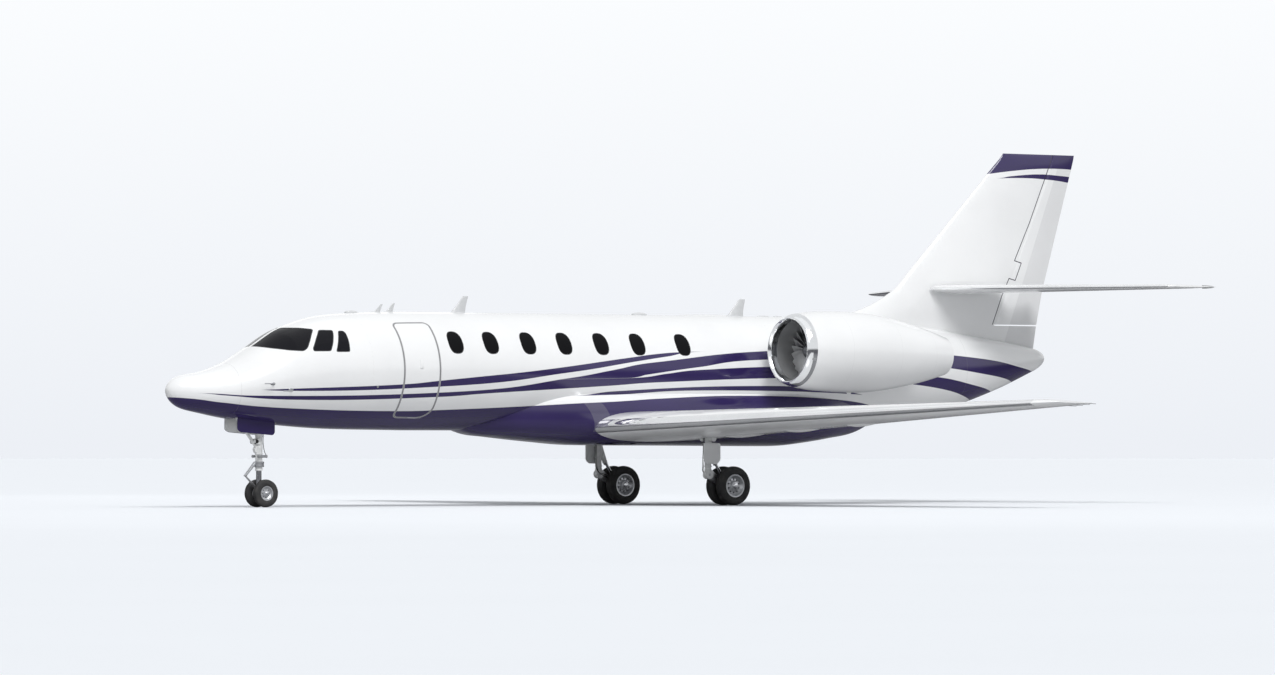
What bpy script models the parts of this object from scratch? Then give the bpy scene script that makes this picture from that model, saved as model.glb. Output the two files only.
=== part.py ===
"""A twin-engined business jet, parked on its landing gear.

Metres. The nose points along -X, the port side along -Y and the fin up +Z. The origin is on the floor,
below the middle of the aircraft. A "station" is a distance aft of the nose tip.
"""

import math

import bmesh
import bpy
import numpy as np
from mathutils import Matrix, Vector

# Whole aircraft
LENGTH = 19.37
HALF_SPAN = 9.65
HEIGHT = 6.20
TOUCH = 0.0003  # air left between pieces that touch
SWING = 0.006  # air round a piece that moves
WALL = 0.14  # thickness of the cabin wall with its trim
AFT_WALL = 0.03  # thickness of the skin and frames where nobody sits
TAIL_WALL = 0.015  # the same in the fin and the tailplane
BODY_SIDES = 24  # flats round the body
ENGINE_SIDES = 20
WHEEL_SIDES = 20
PIN_SIDES = 24  # flats round a hinge pin and its hole

# Body outline: (station, height) along the roof and the keel, (station, half width) along the sides
ROOF_Z = 3.24
KEEL_Z = 1.265
CABIN_RADIUS = (ROOF_Z - KEEL_Z) / 2
CABIN_AXIS_Z = (ROOF_Z + KEEL_Z) / 2
NOSE_TIP_Z = 1.915
ROOF = [(0, NOSE_TIP_Z), (0.22, 2.14), (0.69, 2.23), (1.16, 2.39), (1.63, 2.64), (2.10, 2.91), (2.34, 2.99),
        (2.82, 3.13), (3.30, 3.19), (4.00, 3.225), (4.75, ROOF_Z), (12.6, ROOF_Z), (13.4, 3.235),
        (14.2, 3.22), (15.0, 3.18), (16.0, 3.08), (17.0, 2.95), (17.8, 2.84), (18.6, 2.70)]
KEEL = [(0, NOSE_TIP_Z), (0.22, 1.64), (0.69, 1.53), (1.16, 1.45), (2.10, 1.35), (3.06, 1.29), (4.27, 1.27),
        (4.75, KEEL_Z), (12.6, KEEL_Z), (13.4, 1.285), (14.2, 1.35), (15.0, 1.46), (16.4, 1.68),
        (17.4, 1.97), (18.3, 2.31), (18.6, 2.43)]
SIDE = [(0, 0), (0.22, 0.25), (0.69, 0.42), (1.16, 0.56), (1.63, 0.68), (2.10, 0.765), (2.82, 0.865),
        (3.40, 0.925), (4.00, 0.965), (4.75, CABIN_RADIUS), (12.6, CABIN_RADIUS), (13.4, 0.95),
        (14.2, 0.89), (15.0, 0.80), (16.0, 0.65), (17.0, 0.48), (17.8, 0.345), (18.6, 0.15)]
NOSE_END = 1.10  # where the nose cone meets the cockpit section
COCKPIT_END = 3.45
CABIN_END = 11.90
AFT_END = 16.40
BODY_END = 18.60

# Fairing under the cabin that holds the wing: (station, bottom height, half width)
FAIRING = [(5.60, 1.33, 0.34), (5.98, 1.205, 0.46), (6.48, 1.155, 0.70), (7.48, 1.07, 0.98),
           (8.23, 1.02, 1.05), (10.2, 1.01, 1.06), (12.23, 1.00, 1.05), (12.89, 1.055, 0.97),
           (13.42, 1.125, 0.84), (13.96, 1.21, 0.66), (14.50, 1.42, 0.40)]
FAIRING_AXIS_Z = 1.52
FAIRING_TOP_Z = 2.05
FAIRING_SQUARENESS = 3.0

# Glass, as outlines seen from the side: (station, height)
WINDSCREEN = [(1.35, 2.70), (1.765, 2.601), (2.0, 2.566), (2.228, 2.554), (2.31, 2.60), (2.476, 2.821),
              (2.569, 2.924), (2.383, 2.947), (2.15, 2.95), (1.70, 3.05)]
FRONT_PANE = [(2.40, 2.553), (2.702, 2.557), (2.782, 2.697), (2.85, 2.848), (2.868, 2.91), (2.637, 2.912),
              (2.516, 2.77), (2.395, 2.60)]
REAR_PANE = [(2.787, 2.545), (3.045, 2.548), (3.072, 2.72), (3.075, 2.863), (3.045, 2.90), (2.953, 2.90),
             (2.86, 2.698)]
CENTRE_POST = 0.035  # half width of the post between the windscreens
GLASS = 0.025
CABIN_WINDOWS = [5.14, 5.86, 6.63, 7.38, 8.15, 8.92, 9.88]
CABIN_WINDOW_Z = 2.72
CABIN_WINDOW = (0.30, 0.375)  # width and height

# Entry door, port side
DOOR_STATIONS = (4.05, 4.75)
DOOR_Z = (1.47, 3.045)
DOOR_CORNER = 0.10

# Wing: station and height of the leading edge, station of the trailing edge, at two distances out
WING_ROOT_Y = 0.80
WING_INNER = (1.0, 7.93, 1.31, 11.75)
WING_OUTER = (9.25, 10.42, 1.69, 11.50)
WING_TIP = (HALF_SPAN, 10.80, 1.715, 11.49)
WING_DROP = 0.022  # how far the trailing edge lies below the leading edge, as a part of the chord
WING_THICKNESS = (0.128, 0.11)
WING_LEAN = 0.22  # the upper side is fuller than the lower
FLAP = (1.18, 5.25, 0.745)  # inner end, outer end, hinge place along the chord
AILERON = (5.75, 8.95, 0.72)
SPEED_BRAKE = (2.3, 4.6, 0.61, 0.71)
HINGE_PIN = 0.03  # how far a hinge pin stands out of its surface
REGION_AFT = 1.6  # reach of the blocks that cut out hinged surfaces
REGION_TALL = 0.6

# Tail
FIN_EDGE = [(13.75, 3.20), (14.58, 3.42), (15.19, 3.72), (15.66, 4.19), (17.34, 5.83), (17.73, HEIGHT)]
FIN_BACK = [(18.36, 2.55), (18.47, 3.16), (18.61, 3.77), (LENGTH, HEIGHT)]
FIN_LEVELS = [2.60, 3.23, 3.42, 3.72, 4.19, 5.20, 6.13, HEIGHT]
FIN_THICKNESS = 0.155  # half thickness low down
FIN_TIP_THICKNESS = 0.065
RUDDER_HINGE = ((17.50, 3.16), (18.93, HEIGHT))
STABILISER_Z = 3.77
STABILISER_ROOT = (0.185, 15.88, 18.22)  # distance out, leading and trailing edge stations
STABILISER_TIP = (4.20, 17.98, 19.05)
STABILISER_PIVOT = 17.05
PIVOT_RADIUS = 0.06
ELEVATOR = (0.46, 3.85, 0.71)

# Engines
ENGINE_Y = 1.75
ENGINE_STATION = 11.45
ENGINE_Z = 2.64
ENGINE_DROOP = math.radians(1.4)
NACELLE = [(0.17, 0.628), (0.45, 0.665), (0.85, 0.686), (1.25, 0.692), (1.9, 0.655), (2.5, 0.555),
           (3.0, 0.445), (3.4, 0.335)]
LIP = [(0.17, 0.628), (0.08, 0.603), (0.015, 0.568), (0.0, 0.548), (0.03, 0.520), (0.17, 0.50)]
DUCT_RADIUS = 0.50
FAN_AT = 0.50
FAN_BLADES = 14
CORE_FRONT = 0.86

# Landing gear
NOSE_WHEEL = (1.85, 0.0, 0.2285)  # station, side, radius
NOSE_TYRE_WIDTH = 0.112
NOSE_RIM = 0.115
NOSE_WHEEL_Y = 0.125
NOSE_LEG_STATION = 1.80
MAIN_WHEEL = (10.33, 1.55, 0.33)
MAIN_TYRE_WIDTH = 0.168
MAIN_RIM = 0.19
MAIN_WHEEL_Y = 0.137
MAIN_LEG_STATION = 9.90
MAIN_PIVOT_Z = 0.52
NOSE_WELL = (1.22, 2.02, 0.19, 1.63)
MAIN_WELL = (9.66, 10.12, 0.17, 1.20)

# Inside
FLOOR_Z = 1.50
COCKPIT_FLOOR_Z = 1.75
SEAT_STATIONS = [5.55, 7.25, 8.05, 9.75]


def x_of(station):
    """World x of a distance aft of the nose tip."""
    return station - LENGTH / 2


# Small tools


def clear_scene():
    for item in list(bpy.data.objects):
        bpy.data.objects.remove(item, do_unlink=True)


def material(name, colour, roughness, metallic=0.0, alpha=1.0):
    made = bpy.data.materials.new(name)
    made.use_nodes = True
    shader = made.node_tree.nodes["Principled BSDF"]
    shader.inputs["Base Color"].default_value = (*colour, 1.0)
    shader.inputs["Roughness"].default_value = roughness
    shader.inputs["Metallic"].default_value = metallic
    shader.inputs["Alpha"].default_value = alpha
    made.diffuse_color = (*colour, alpha)
    return made


def object_from(name, bm, finish=None):
    """Makes an object from a bmesh, with its faces pointing outwards. With no finish it is a helper."""
    bmesh.ops.remove_doubles(bm, verts=bm.verts, dist=0.00002)
    bmesh.ops.recalc_face_normals(bm, faces=bm.faces)
    mesh = bpy.data.meshes.new(name)
    bm.to_mesh(mesh)
    bm.free()
    made = bpy.data.objects.new(name, mesh)
    bpy.context.scene.collection.objects.link(made)
    if finish is None:
        made.hide_render = True
        made.display_type = "WIRE"
    else:
        mesh.materials.append(finish)
        mesh.shade_smooth()
        mesh.set_sharp_from_angle(angle=math.radians(35))
    return made


def skin(bm, a, b, c, d):
    """One four-sided patch. Where it isn't flat it is split along its shorter diagonal, so that two lofts
    of the same surface agree whichever way they run."""
    one, two = (a.co - c.co).length, (b.co - d.co).length
    if abs(one - two) < 0.00001:
        bm.faces.new((a, b, c, d))
    elif one < two:
        bm.faces.new((a, b, c))
        bm.faces.new((a, c, d))
    else:
        bm.faces.new((a, b, d))
        bm.faces.new((b, c, d))


def loft(name, rings, finish=None, closed=False):
    """Skins a row of rings of equal length. Closed joins the last ring to the first, for a tube wall."""
    bm = bmesh.new()
    rows = [[bm.verts.new(point) for point in ring] for ring in rings]
    pairs = list(zip(rows, rows[1:] + rows[:1] if closed else rows[1:]))
    for one, two in pairs:
        for i in range(len(one)):
            j = (i + 1) % len(one)
            skin(bm, one[i], one[j], two[j], two[i])
    if not closed:
        bm.faces.new(rows[0])
        bm.faces.new(rows[-1])
    return object_from(name, bm, finish)


def turned(name, profile, centre, axis, finish=None, steps=24, closed=False):
    """Turns a profile of (distance along, radius) about an axis. Closed is for a ring such as a tyre.

    The first corner lies half a step from the top, so that a level piece stands on a flat."""
    axis = Vector(axis).normalized()
    side = Vector((1, 0, 0)) if abs(axis.z) > 0.7 else Vector((0, 0, 1))
    side = (side - axis * side.dot(axis)).normalized()
    side = Matrix.Rotation(math.pi / steps, 3, axis) @ side
    centre = Vector(centre)
    bm = bmesh.new()
    points = [bm.verts.new(centre + axis * along + side * radius) for along, radius in profile]
    ends = points[1:] + points[:1] if closed else points[1:]
    edges = [bm.edges.new(pair) for pair in zip(points, ends)]
    bmesh.ops.spin(bm, geom=points + edges, cent=centre, axis=axis, angle=math.tau, steps=steps, use_merge=True)
    return object_from(name, bm, finish)


def rod(name, start, end, radius, finish=None, steps=14):
    """A round bar from one point to another."""
    start = Vector(start)
    span = Vector(end) - start
    profile = [(0, 0), (0, radius), (span.length, radius), (span.length, 0)]
    return turned(name, profile, start, span, finish, steps)


def prism(name, outline, low, high, direction="Y", finish=None):
    """Pulls a flat outline along one axis. The outline gives the other two coordinates in X, Y, Z order."""
    places = {"X": lambda p, d: (d, p[0], p[1]), "Y": lambda p, d: (p[0], d, p[1]), "Z": lambda p, d: (p[0], p[1], d)}
    place = places[direction]
    return loft(name, [[place(point, depth) for point in outline] for depth in (low, high)], finish)


def box(name, low, high, finish=None):
    outline = [(low[0], low[1]), (high[0], low[1]), (high[0], high[1]), (low[0], high[1])]
    return prism(name, outline, low[2], high[2], "Z", finish)


def bearing_radius(pin):
    """Radius of a hole whose flats clear the corners of the pin that turns in it."""
    return (pin + 0.0002) / math.cos(math.pi / PIN_SIDES)


def boolean(target, other, operation="DIFFERENCE"):
    step = target.modifiers.new(f"{operation.lower()} {other.name}", "BOOLEAN")
    step.operation = operation
    step.object = other


def cut(target, *cutters):
    for cutter in cutters:
        boolean(target, cutter)


def join(target, *others):
    for other in others:
        boolean(target, other, "UNION")


def set_origin(target, point):
    """Moves an object's origin to a point of its joint's axis, leaving its shape where it is."""
    target.data.transform(Matrix.Translation(-Vector(point)))
    target.location = point


def through(points):
    """A smooth curve through (station, value) points, as a function. Cubic pieces in the root of the station,
    which rounds the nose, with each slope held between those of its two neighbours."""
    at = np.sqrt([point[0] for point in points])
    value = np.array([point[1] for point in points], float)
    rise = np.diff(value) / np.diff(at)
    slope = np.concatenate([rise[:1], np.where(rise[1:] * rise[:-1] > 0, (rise[1:] + rise[:-1]) / 2, 0), rise[-1:]])
    limit = 3 * np.minimum(np.abs(np.append(rise, rise[-1])), np.abs(np.insert(rise, 0, rise[0])))
    slope = np.clip(slope, -limit, limit)

    def curve(station):
        u = np.clip(np.sqrt(max(station, 0.0)), at[0], at[-1])
        i = min(max(int(np.searchsorted(at, u)) - 1, 0), len(at) - 2)
        width = at[i + 1] - at[i]
        t = (u - at[i]) / width
        start = (1 + 2 * t) * (1 - t) ** 2 * value[i] + t * (1 - t) ** 2 * width * slope[i]
        end = t * t * (3 - 2 * t) * value[i + 1] + t * t * (t - 1) * width * slope[i + 1]
        return float(start + end)

    return curve


roof_at = through(ROOF)
keel_at = through(KEEL)
side_at = through(SIDE)


# Body


def body_ring(station, grow=0.0, floor=None, count=BODY_SIDES):
    """The body's section at a station, grown or shrunk. A floor height raises its lowest point."""
    top = roof_at(station) + grow
    bottom = keel_at(station) - grow
    if floor is not None:
        bottom = max(bottom, floor)
    middle, tall, wide = (top + bottom) / 2, (top - bottom) / 2, side_at(station) + grow
    angles = [math.tau * (i + 0.5) / count for i in range(count)]
    return [(x_of(station), wide * math.cos(a), middle + tall * math.sin(a)) for a in angles]


def body_rings(stations, grow=0.0, floor=None):
    return [body_ring(station, grow, floor) for station in stations]


def inner_floor(station):
    """Lowest point of the hollow: high over the nose wheel's bay, then down to the cabin's wall."""
    return float(np.interp(station, [2.30, 2.95], [COCKPIT_FLOOR_Z, KEEL_Z + WALL]))


def inner_rings(stations, shrink=0.0):
    return [body_ring(s, -WALL - shrink, inner_floor(s) + shrink) for s in stations]


def cup(name, outer, inner, finish):
    """A hollow body section: closed by a bulkhead at one end, open at the other, where both lists end."""
    return loft(name, outer + inner[::-1], finish)


def cabin_window_cutter(side):
    """One helper with an oval bar for each cabin window."""
    wide, tall = CABIN_WINDOW
    bm = bmesh.new()
    for station in CABIN_WINDOWS:
        angles = [math.tau * i / 12 for i in range(12)]
        outline = [(x_of(station) + wide / 2 * math.cos(a), CABIN_WINDOW_Z + tall / 2 * math.sin(a)) for a in angles]
        rows = [[bm.verts.new((x, side * y, z)) for x, z in outline] for y in (0.60, 1.10)]
        bm.faces.new(rows[0])
        bm.faces.new(rows[1])
        for i in range(12):
            j = (i + 1) % 12
            bm.faces.new((rows[0][i], rows[0][j], rows[1][j], rows[1][i]))
    return object_from("cabin_window_cutter", bm)


def door_region(name, air):
    """A block bounded by the door's edges, square to the skin, for cutting the door and its opening.

    It is lofted down the door's curve. Its rows narrow at both ends, to round the corners."""
    low, high = [math.asin((CABIN_AXIS_Z - z) / CABIN_RADIUS) for z in DOOR_Z]
    low += air / CABIN_RADIUS
    high -= air / CABIN_RADIUS
    front, back = DOOR_STATIONS[0] - air, DOOR_STATIONS[1] + air
    corner = DOOR_CORNER + air
    turns = [math.radians(step) for step in (0, 30, 60, 90)]
    rows = [(high + corner / CABIN_RADIUS * (1 - math.cos(t)), corner * (1 - math.sin(t))) for t in turns]
    middle = np.linspace(rows[-1][0], low - corner / CABIN_RADIUS, 9)[1:-1]
    rows += [(angle, 0.0) for angle in middle]
    rows += [(low - corner / CABIN_RADIUS * (1 - math.cos(t)), corner * (1 - math.sin(t))) for t in turns[::-1]]
    rings = []
    for angle, inset in rows:
        ring = []
        for radius, station in ((CABIN_RADIUS - WALL - 0.12, front + inset), (CABIN_RADIUS - WALL - 0.12, back - inset),
                                (CABIN_RADIUS + 0.12, back - inset), (CABIN_RADIUS + 0.12, front + inset)):
            ring.append((x_of(station), -radius * math.cos(angle), CABIN_AXIS_Z - radius * math.sin(angle)))
        rings.append(ring)
    return loft(name, rings)


def make_body(paint, lower_paint, glass):
    nose_stations = [0.0, 0.01, 0.05, 0.13, 0.26, 0.45, 0.75, NOSE_END - TOUCH]
    loft("nose_cone", body_rings(nose_stations), paint)

    cockpit_outer = [NOSE_END, 1.35, 1.63, 1.90, 2.10, 2.34, 2.60, 2.90, 3.15, COCKPIT_END - TOUCH]
    cockpit_inner = [1.50, 1.72, 1.95, 2.15, 2.38, 2.65, 2.95, COCKPIT_END - TOUCH]
    cockpit = cup("forward_fuselage", body_rings(cockpit_outer), inner_rings(cockpit_inner), paint)
    cut(cockpit, nose_well_cutter())
    make_cockpit_glass(cockpit, cockpit_outer, glass)

    cabin_outer = [CABIN_END - TOUCH, 4.90, 3.95, COCKPIT_END]
    cabin_inner = [CABIN_END - WALL, 4.90, 3.95, COCKPIT_END]
    cabin = cup("cabin_fuselage", body_rings(cabin_outer), inner_rings(cabin_inner), paint)
    cut(cabin, cabin_window_cutter(-1), cabin_window_cutter(1), door_region("door_opening", SWING))
    make_door(cabin_outer, cabin_inner, paint)

    aft_outer = [AFT_END - TOUCH, 15.7, 15.0, 14.2, 13.4, 12.6, CABIN_END]
    aft_inner = [AFT_END - AFT_WALL, 15.7, 15.0, 14.2, 13.4, 12.6, CABIN_END]
    cup("aft_fuselage", body_rings(aft_outer), body_rings(aft_inner, -AFT_WALL), paint)
    cone_outer = [BODY_END, 18.3, 17.8, 17.4, 17.0, AFT_END]
    cone_inner = [17.9, 17.4, 17.0, AFT_END]
    cup("tail_cone", body_rings(cone_outer), body_rings(cone_inner, -AFT_WALL), paint)

    make_fairing(lower_paint)


def make_cockpit_glass(cockpit, stations, glass):
    """Cuts the windscreens and side panes from the cockpit, and makes each pane from a thin layer of the skin."""
    stations = stations[:-1] + [COCKPIT_END]
    panes = [("windscreen", WINDSCREEN, CENTRE_POST), ("front_side_window", FRONT_PANE, 0.30),
             ("rear_side_window", REAR_PANE, 0.30)]
    for side, word in ((-1, "left"), (1, "right")):
        for name, outline, inboard in panes:
            points = [(x_of(s), z) for s, z in outline]
            middle = np.mean(points, axis=0)
            shrunk = [tuple(middle + (np.array(p) - middle) * (1 - 2 * TOUCH / 0.3)) for p in points]
            cut(cockpit, prism(f"{word}_{name}_opening", points, side * inboard, side * 1.1))
            layer = body_rings(stations, -0.004) + body_rings(stations, -0.004 - GLASS)[::-1]
            pane = loft(f"{word}_{name}", layer, glass, closed=True)
            near, far = side * (inboard + TOUCH), side * 1.05
            boolean(pane, prism(f"{word}_{name}_edge", shrunk, near, far), "INTERSECT")


def make_door(outer, inner, paint):
    """The airstair: a piece of the cabin's wall with treads on its inner face, hinged along its lower edge."""
    door = cup("cabin_door", body_rings(outer), inner_rings(inner), paint)
    boolean(door, door_region("door_edge", 0.0), "INTERSECT")
    low, high = x_of(DOOR_STATIONS[0] + 0.07), x_of(DOOR_STATIONS[1] - 0.07)
    for number, tread_z in enumerate((1.78, 2.06, 2.34, 2.62)):
        wall = math.sqrt((CABIN_RADIUS - WALL) ** 2 - (tread_z - CABIN_AXIS_Z) ** 2)
        depth = (-wall - 0.03, -wall + 0.20)
        join(door, box(f"door_tread_{number}", (low, depth[0], tread_z), (high, depth[1], tread_z + 0.03)))
    hinge_y, hinge_z = door_hinge()
    # The hinge bar fills the gap under the door, a hair from the sill. The skin narrows forwards of it.
    low, high = x_of(4.36), x_of(4.62)
    bar = rod("door_hinge_bar", (low, hinge_y, hinge_z), (high, hinge_y, hinge_z), SWING - 2 * TOUCH, steps=10)
    join(door, bar)
    set_origin(door, (x_of(sum(DOOR_STATIONS) / 2), hinge_y, hinge_z))


def door_hinge():
    """(y, z) of the door's hinge line, at the outermost skin of the door's lower edge."""
    angle = math.asin((CABIN_AXIS_Z - DOOR_Z[0]) / CABIN_RADIUS)
    reach = CABIN_RADIUS - 0.0029
    return -reach * math.cos(angle), CABIN_AXIS_Z - reach * math.sin(angle)


def fairing_ring(station, bottom, wide, count=24):
    """A squarish section, full along the bottom, whose top half runs up into the body's side."""
    ring = []
    for i in range(count):
        a = math.tau * (i + 0.5) / count
        c, s = math.cos(a), math.sin(a)
        power = 2 / FAIRING_SQUARENESS
        tall = FAIRING_TOP_Z - FAIRING_AXIS_Z if s > 0 else FAIRING_AXIS_Z - bottom
        ring.append((x_of(station), wide * math.copysign(abs(c) ** power, c),
                     FAIRING_AXIS_Z + tall * math.copysign(abs(s) ** power, s)))
    return ring


def make_fairing(paint):
    fairing = loft("belly_fairing", [fairing_ring(*row) for row in FAIRING], paint)
    stations = [4.9, 6.0, 8.0, 10.0, 11.9, 12.6, 13.4, 14.2, 15.0]
    cut(fairing, loft("body_cutter", body_rings(stations, TOUCH)))
    for side in (-1, 1):
        cut(fairing, wing_blank(f"wing_root_cutter_{side}", side, TOUCH))


# Wings


def airfoil_ring(front, back, up, thickness, count=9, grow=0.0, lean=0.0):
    """A section between its front and back edges. Thickness is its depth as a part of its chord, and lean
    is how much fuller its upper side is than its lower side, as a part of its half depth."""
    front, back, up = Vector(front), Vector(back), Vector(up)
    chord = (back - front).length
    along = (back - front) / chord
    ring = []
    places = [(1 - math.cos(math.pi * i / count)) / 2 for i in range(count + 1)]
    for places_on_side, sign in ((places[::-1], 1), (places[1:], -1)):
        for s in places_on_side:
            half = airfoil_half(s, thickness) * chord + grow
            if s == 0:
                half = 0
            reach = chord * s + (grow if s == 1 else -grow if s == 0 else 0)
            ring.append(front + along * reach + up * half * (sign + lean))
    return ring


def airfoil_half(s, thickness):
    """Half depth at a place along the chord, with a back edge a few thousandths of the chord thick."""
    shape = 0.2969 * math.sqrt(s) - 0.126 * s - 0.3516 * s**2 + 0.2843 * s**3 - 0.1036 * s**4
    return 5 * thickness * shape + 0.0012 * s


def wing_at(out):
    """Front point, back point and thickness of the wing at a distance out from the middle."""
    stations = [WING_INNER, WING_OUTER, WING_TIP]
    reach = [row[0] for row in stations]
    values = []
    for column in (1, 2, 3):
        inner, outer = stations[0][column], stations[1][column]
        straight = inner + (outer - inner) * (out - reach[0]) / (reach[1] - reach[0])
        values.append(straight if out <= reach[1] else float(np.interp(out, reach, [r[column] for r in stations])))
    front, front_z, back = values
    thickness = float(np.interp(out, [reach[0], reach[1], reach[2]], [*WING_THICKNESS, WING_THICKNESS[1] * 0.6]))
    back_z = front_z - WING_DROP * (back - front)
    return Vector((x_of(front), out, front_z)), Vector((x_of(back), out, back_z)), thickness


def mirrored(points, side):
    return [(x, side * y, z) for x, y, z in points]


def wing_blank(name, side, grow=0.0, finish=None):
    """The whole wing of one side, before its moving surfaces are cut."""
    rings = []
    for out in (WING_ROOT_Y - grow, 3.5, WING_OUTER[0], 9.50, HALF_SPAN):
        front, back, thickness = wing_at(out)
        ring = airfoil_ring(front, back, (0, 0, 1), thickness, grow=grow, lean=WING_LEAN)
        rings.append(mirrored(ring, side))
    return loft(name, rings, finish)


def hinge_region(name, start, end, radii, up, grow, long=0.0, level=False):
    """A block for cutting a hinged surface: a round front about the hinge line, and all that is aft of it.

    Its ends are square to the hinge line or, where level is set, flat and horizontal."""
    start, end, up = Vector(start), Vector(end), Vector(up)
    line = (end - start).normalized()
    up = (up - line * up.dot(line)).normalized()
    back = line.cross(up)
    back = back if back.x > 0 else -back
    stretch = 1.0
    if level:
        stretch = 1 / abs(line.z)
        back = Vector((1, 0, 0))
    rings = []
    for point, radius, shift in ((start, radii[0], -long), (end, radii[1], long)):
        centre = point + line * shift * stretch
        r = radius + grow
        outline = [(REGION_AFT, -REGION_TALL), (0, -REGION_TALL)]
        for i in range(11):
            a = math.pi * i / 10
            outline.append((-r * stretch * math.sin(a), -r * math.cos(a)))
        outline += [(0, REGION_TALL), (REGION_AFT, REGION_TALL)]
        rings.append([centre + back * a + up * b for a, b in outline])
    return loft(name, rings)


def hinged_surface(name, blank, parent, start, end, radii, up, opens=(0.0, 0.0), level=False):
    """Cuts a hinged surface from a wing-like blank, and its bay from the parent.

    A pin on the hinge line carries it, in a hole beyond the end point. opens lengthens the bay at each end."""
    start, end = Vector(start), Vector(end)
    line = (end - start).normalized()
    boolean(blank, hinge_region(f"{name}_shape", start, end, radii, up, 0.0, level=level), "INTERSECT")
    bay_start, bay_end = start - line * opens[0], end + line * opens[1]
    cut(parent, hinge_region(f"{name}_bay", bay_start, bay_end, radii, up, SWING, SWING, level))
    thin, inner = radii[1] * 0.35, end - line * 0.03
    tip = bay_end + line * HINGE_PIN
    cut(parent, rod(f"{name}_pin_hole", inner, tip + line * TOUCH, bearing_radius(thin), steps=PIN_SIDES))
    join(blank, rod(f"{name}_pin", inner, tip, thin, steps=PIN_SIDES))
    set_origin(blank, start)


def hinge_point(out, part):
    """Point of the wing's middle surface at a part of its chord, and the hinge's radius there."""
    front, back, thickness = wing_at(out)
    half = airfoil_half(part, thickness) * (back - front).length
    return front.lerp(back, part) + Vector((0, 0, WING_LEAN * half)), half * 1.05


def make_wings(paint):
    for side, word in ((-1, "left"), (1, "right")):
        wing = wing_blank(f"{word}_wing", side, finish=paint)
        for name, (inner, outer, part) in (("flap", FLAP), ("aileron", AILERON)):
            (start, r_start), (end, r_end) = hinge_point(inner, part), hinge_point(outer, part)
            start.y *= side
            end.y *= side
            blank = wing_blank(f"{word}_{name}", side, finish=paint)
            hinged_surface(f"{word}_{name}", blank, wing, start, end, (r_start, r_end), (0, 0, 1))
        make_speed_brake(wing, side, word, paint)
        low, high, half, top = MAIN_WELL
        y = side * MAIN_WHEEL[1]
        cut(wing, box(f"{word}_gear_well", (x_of(low), y - half, 0.9), (x_of(high), y + half, top)))


def make_speed_brake(wing, side, word, paint):
    """A flat panel let into the top of the wing, hinged along its front edge."""
    inner, outer, fore, aft = SPEED_BRAKE
    plate = 0.018
    rings = {"panel": [], "bay": []}
    for out, end in ((inner, -1), (outer, 1)):
        front, back, thickness = wing_at(out)
        chord = (back - front).length
        for kind, air in (("panel", 0.0), ("bay", SWING)):
            ring = []
            for part, shift, deep in ((fore, -air, -1), (aft, air, -1), (aft, air, 1), (fore, -air, 1)):
                point = front.lerp(back, part)
                top = airfoil_half(part, thickness) * chord * (1 + WING_LEAN)
                down = top - plate - air if deep < 0 else top + 0.08
                ring.append((point.x + shift, side * (out + end * air), point.z + down))
            rings[kind].append(ring)
    panel = wing_blank(f"{word}_speed_brake", side, finish=paint)
    boolean(panel, loft(f"{word}_speed_brake_shape", rings["panel"]), "INTERSECT")
    cut(wing, loft(f"{word}_speed_brake_bay", rings["bay"]))
    start, end = speed_brake_hinge(side)
    line = (end - start).normalized()
    pin = rod(f"{word}_speed_brake_pin", end - line * 0.03, end + line * (SWING - 2 * TOUCH), 0.006, steps=8)
    join(panel, pin)
    set_origin(panel, start)


def speed_brake_hinge(side):
    """Both ends of the speed brake's hinge line, just under the skin at its front edge."""
    ends = []
    for out in SPEED_BRAKE[:2]:
        front, back, thickness = wing_at(out)
        point = front.lerp(back, SPEED_BRAKE[2])
        point.z += airfoil_half(SPEED_BRAKE[2], thickness) * (back - front).length * (1 + WING_LEAN) - 0.009
        point.x += 0.008
        point.y *= side
        ends.append(point)
    return ends


# Tail


def fin_at(z):
    """Front and back points of the fin at a height, and its half thickness."""
    front = float(np.interp(z, [p[1] for p in FIN_EDGE], [p[0] for p in FIN_EDGE]))
    back = float(np.interp(z, [p[1] for p in FIN_BACK], [p[0] for p in FIN_BACK]))
    half = float(np.interp(z, [3.4, HEIGHT], [FIN_THICKNESS, FIN_TIP_THICKNESS]))
    if z > HEIGHT - 0.05:
        half *= 0.55
    return Vector((x_of(front), 0, z)), Vector((x_of(back), 0, z)), half


def fin_blank(name, finish=None):
    rings = []
    for z in FIN_LEVELS:
        front, back, half = fin_at(z)
        rings.append(airfoil_ring(front, back, (0, 1, 0), 2 * half / (back - front).length, count=10))
    return loft(name, rings, finish)


def hollow_ring(front, back, up, thickness, places):
    """A section inside an airfoil section, a wall's thickness under its skin."""
    front, back, up = Vector(front), Vector(back), Vector(up)
    chord = (back - front).length
    ring = []
    for row, sign in ((places, 1), (places[::-1], -1)):
        for s in row:
            half = airfoil_half(s, thickness) * chord - TAIL_WALL
            ring.append(front.lerp(back, s) + up * half * sign)
    return ring


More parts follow.
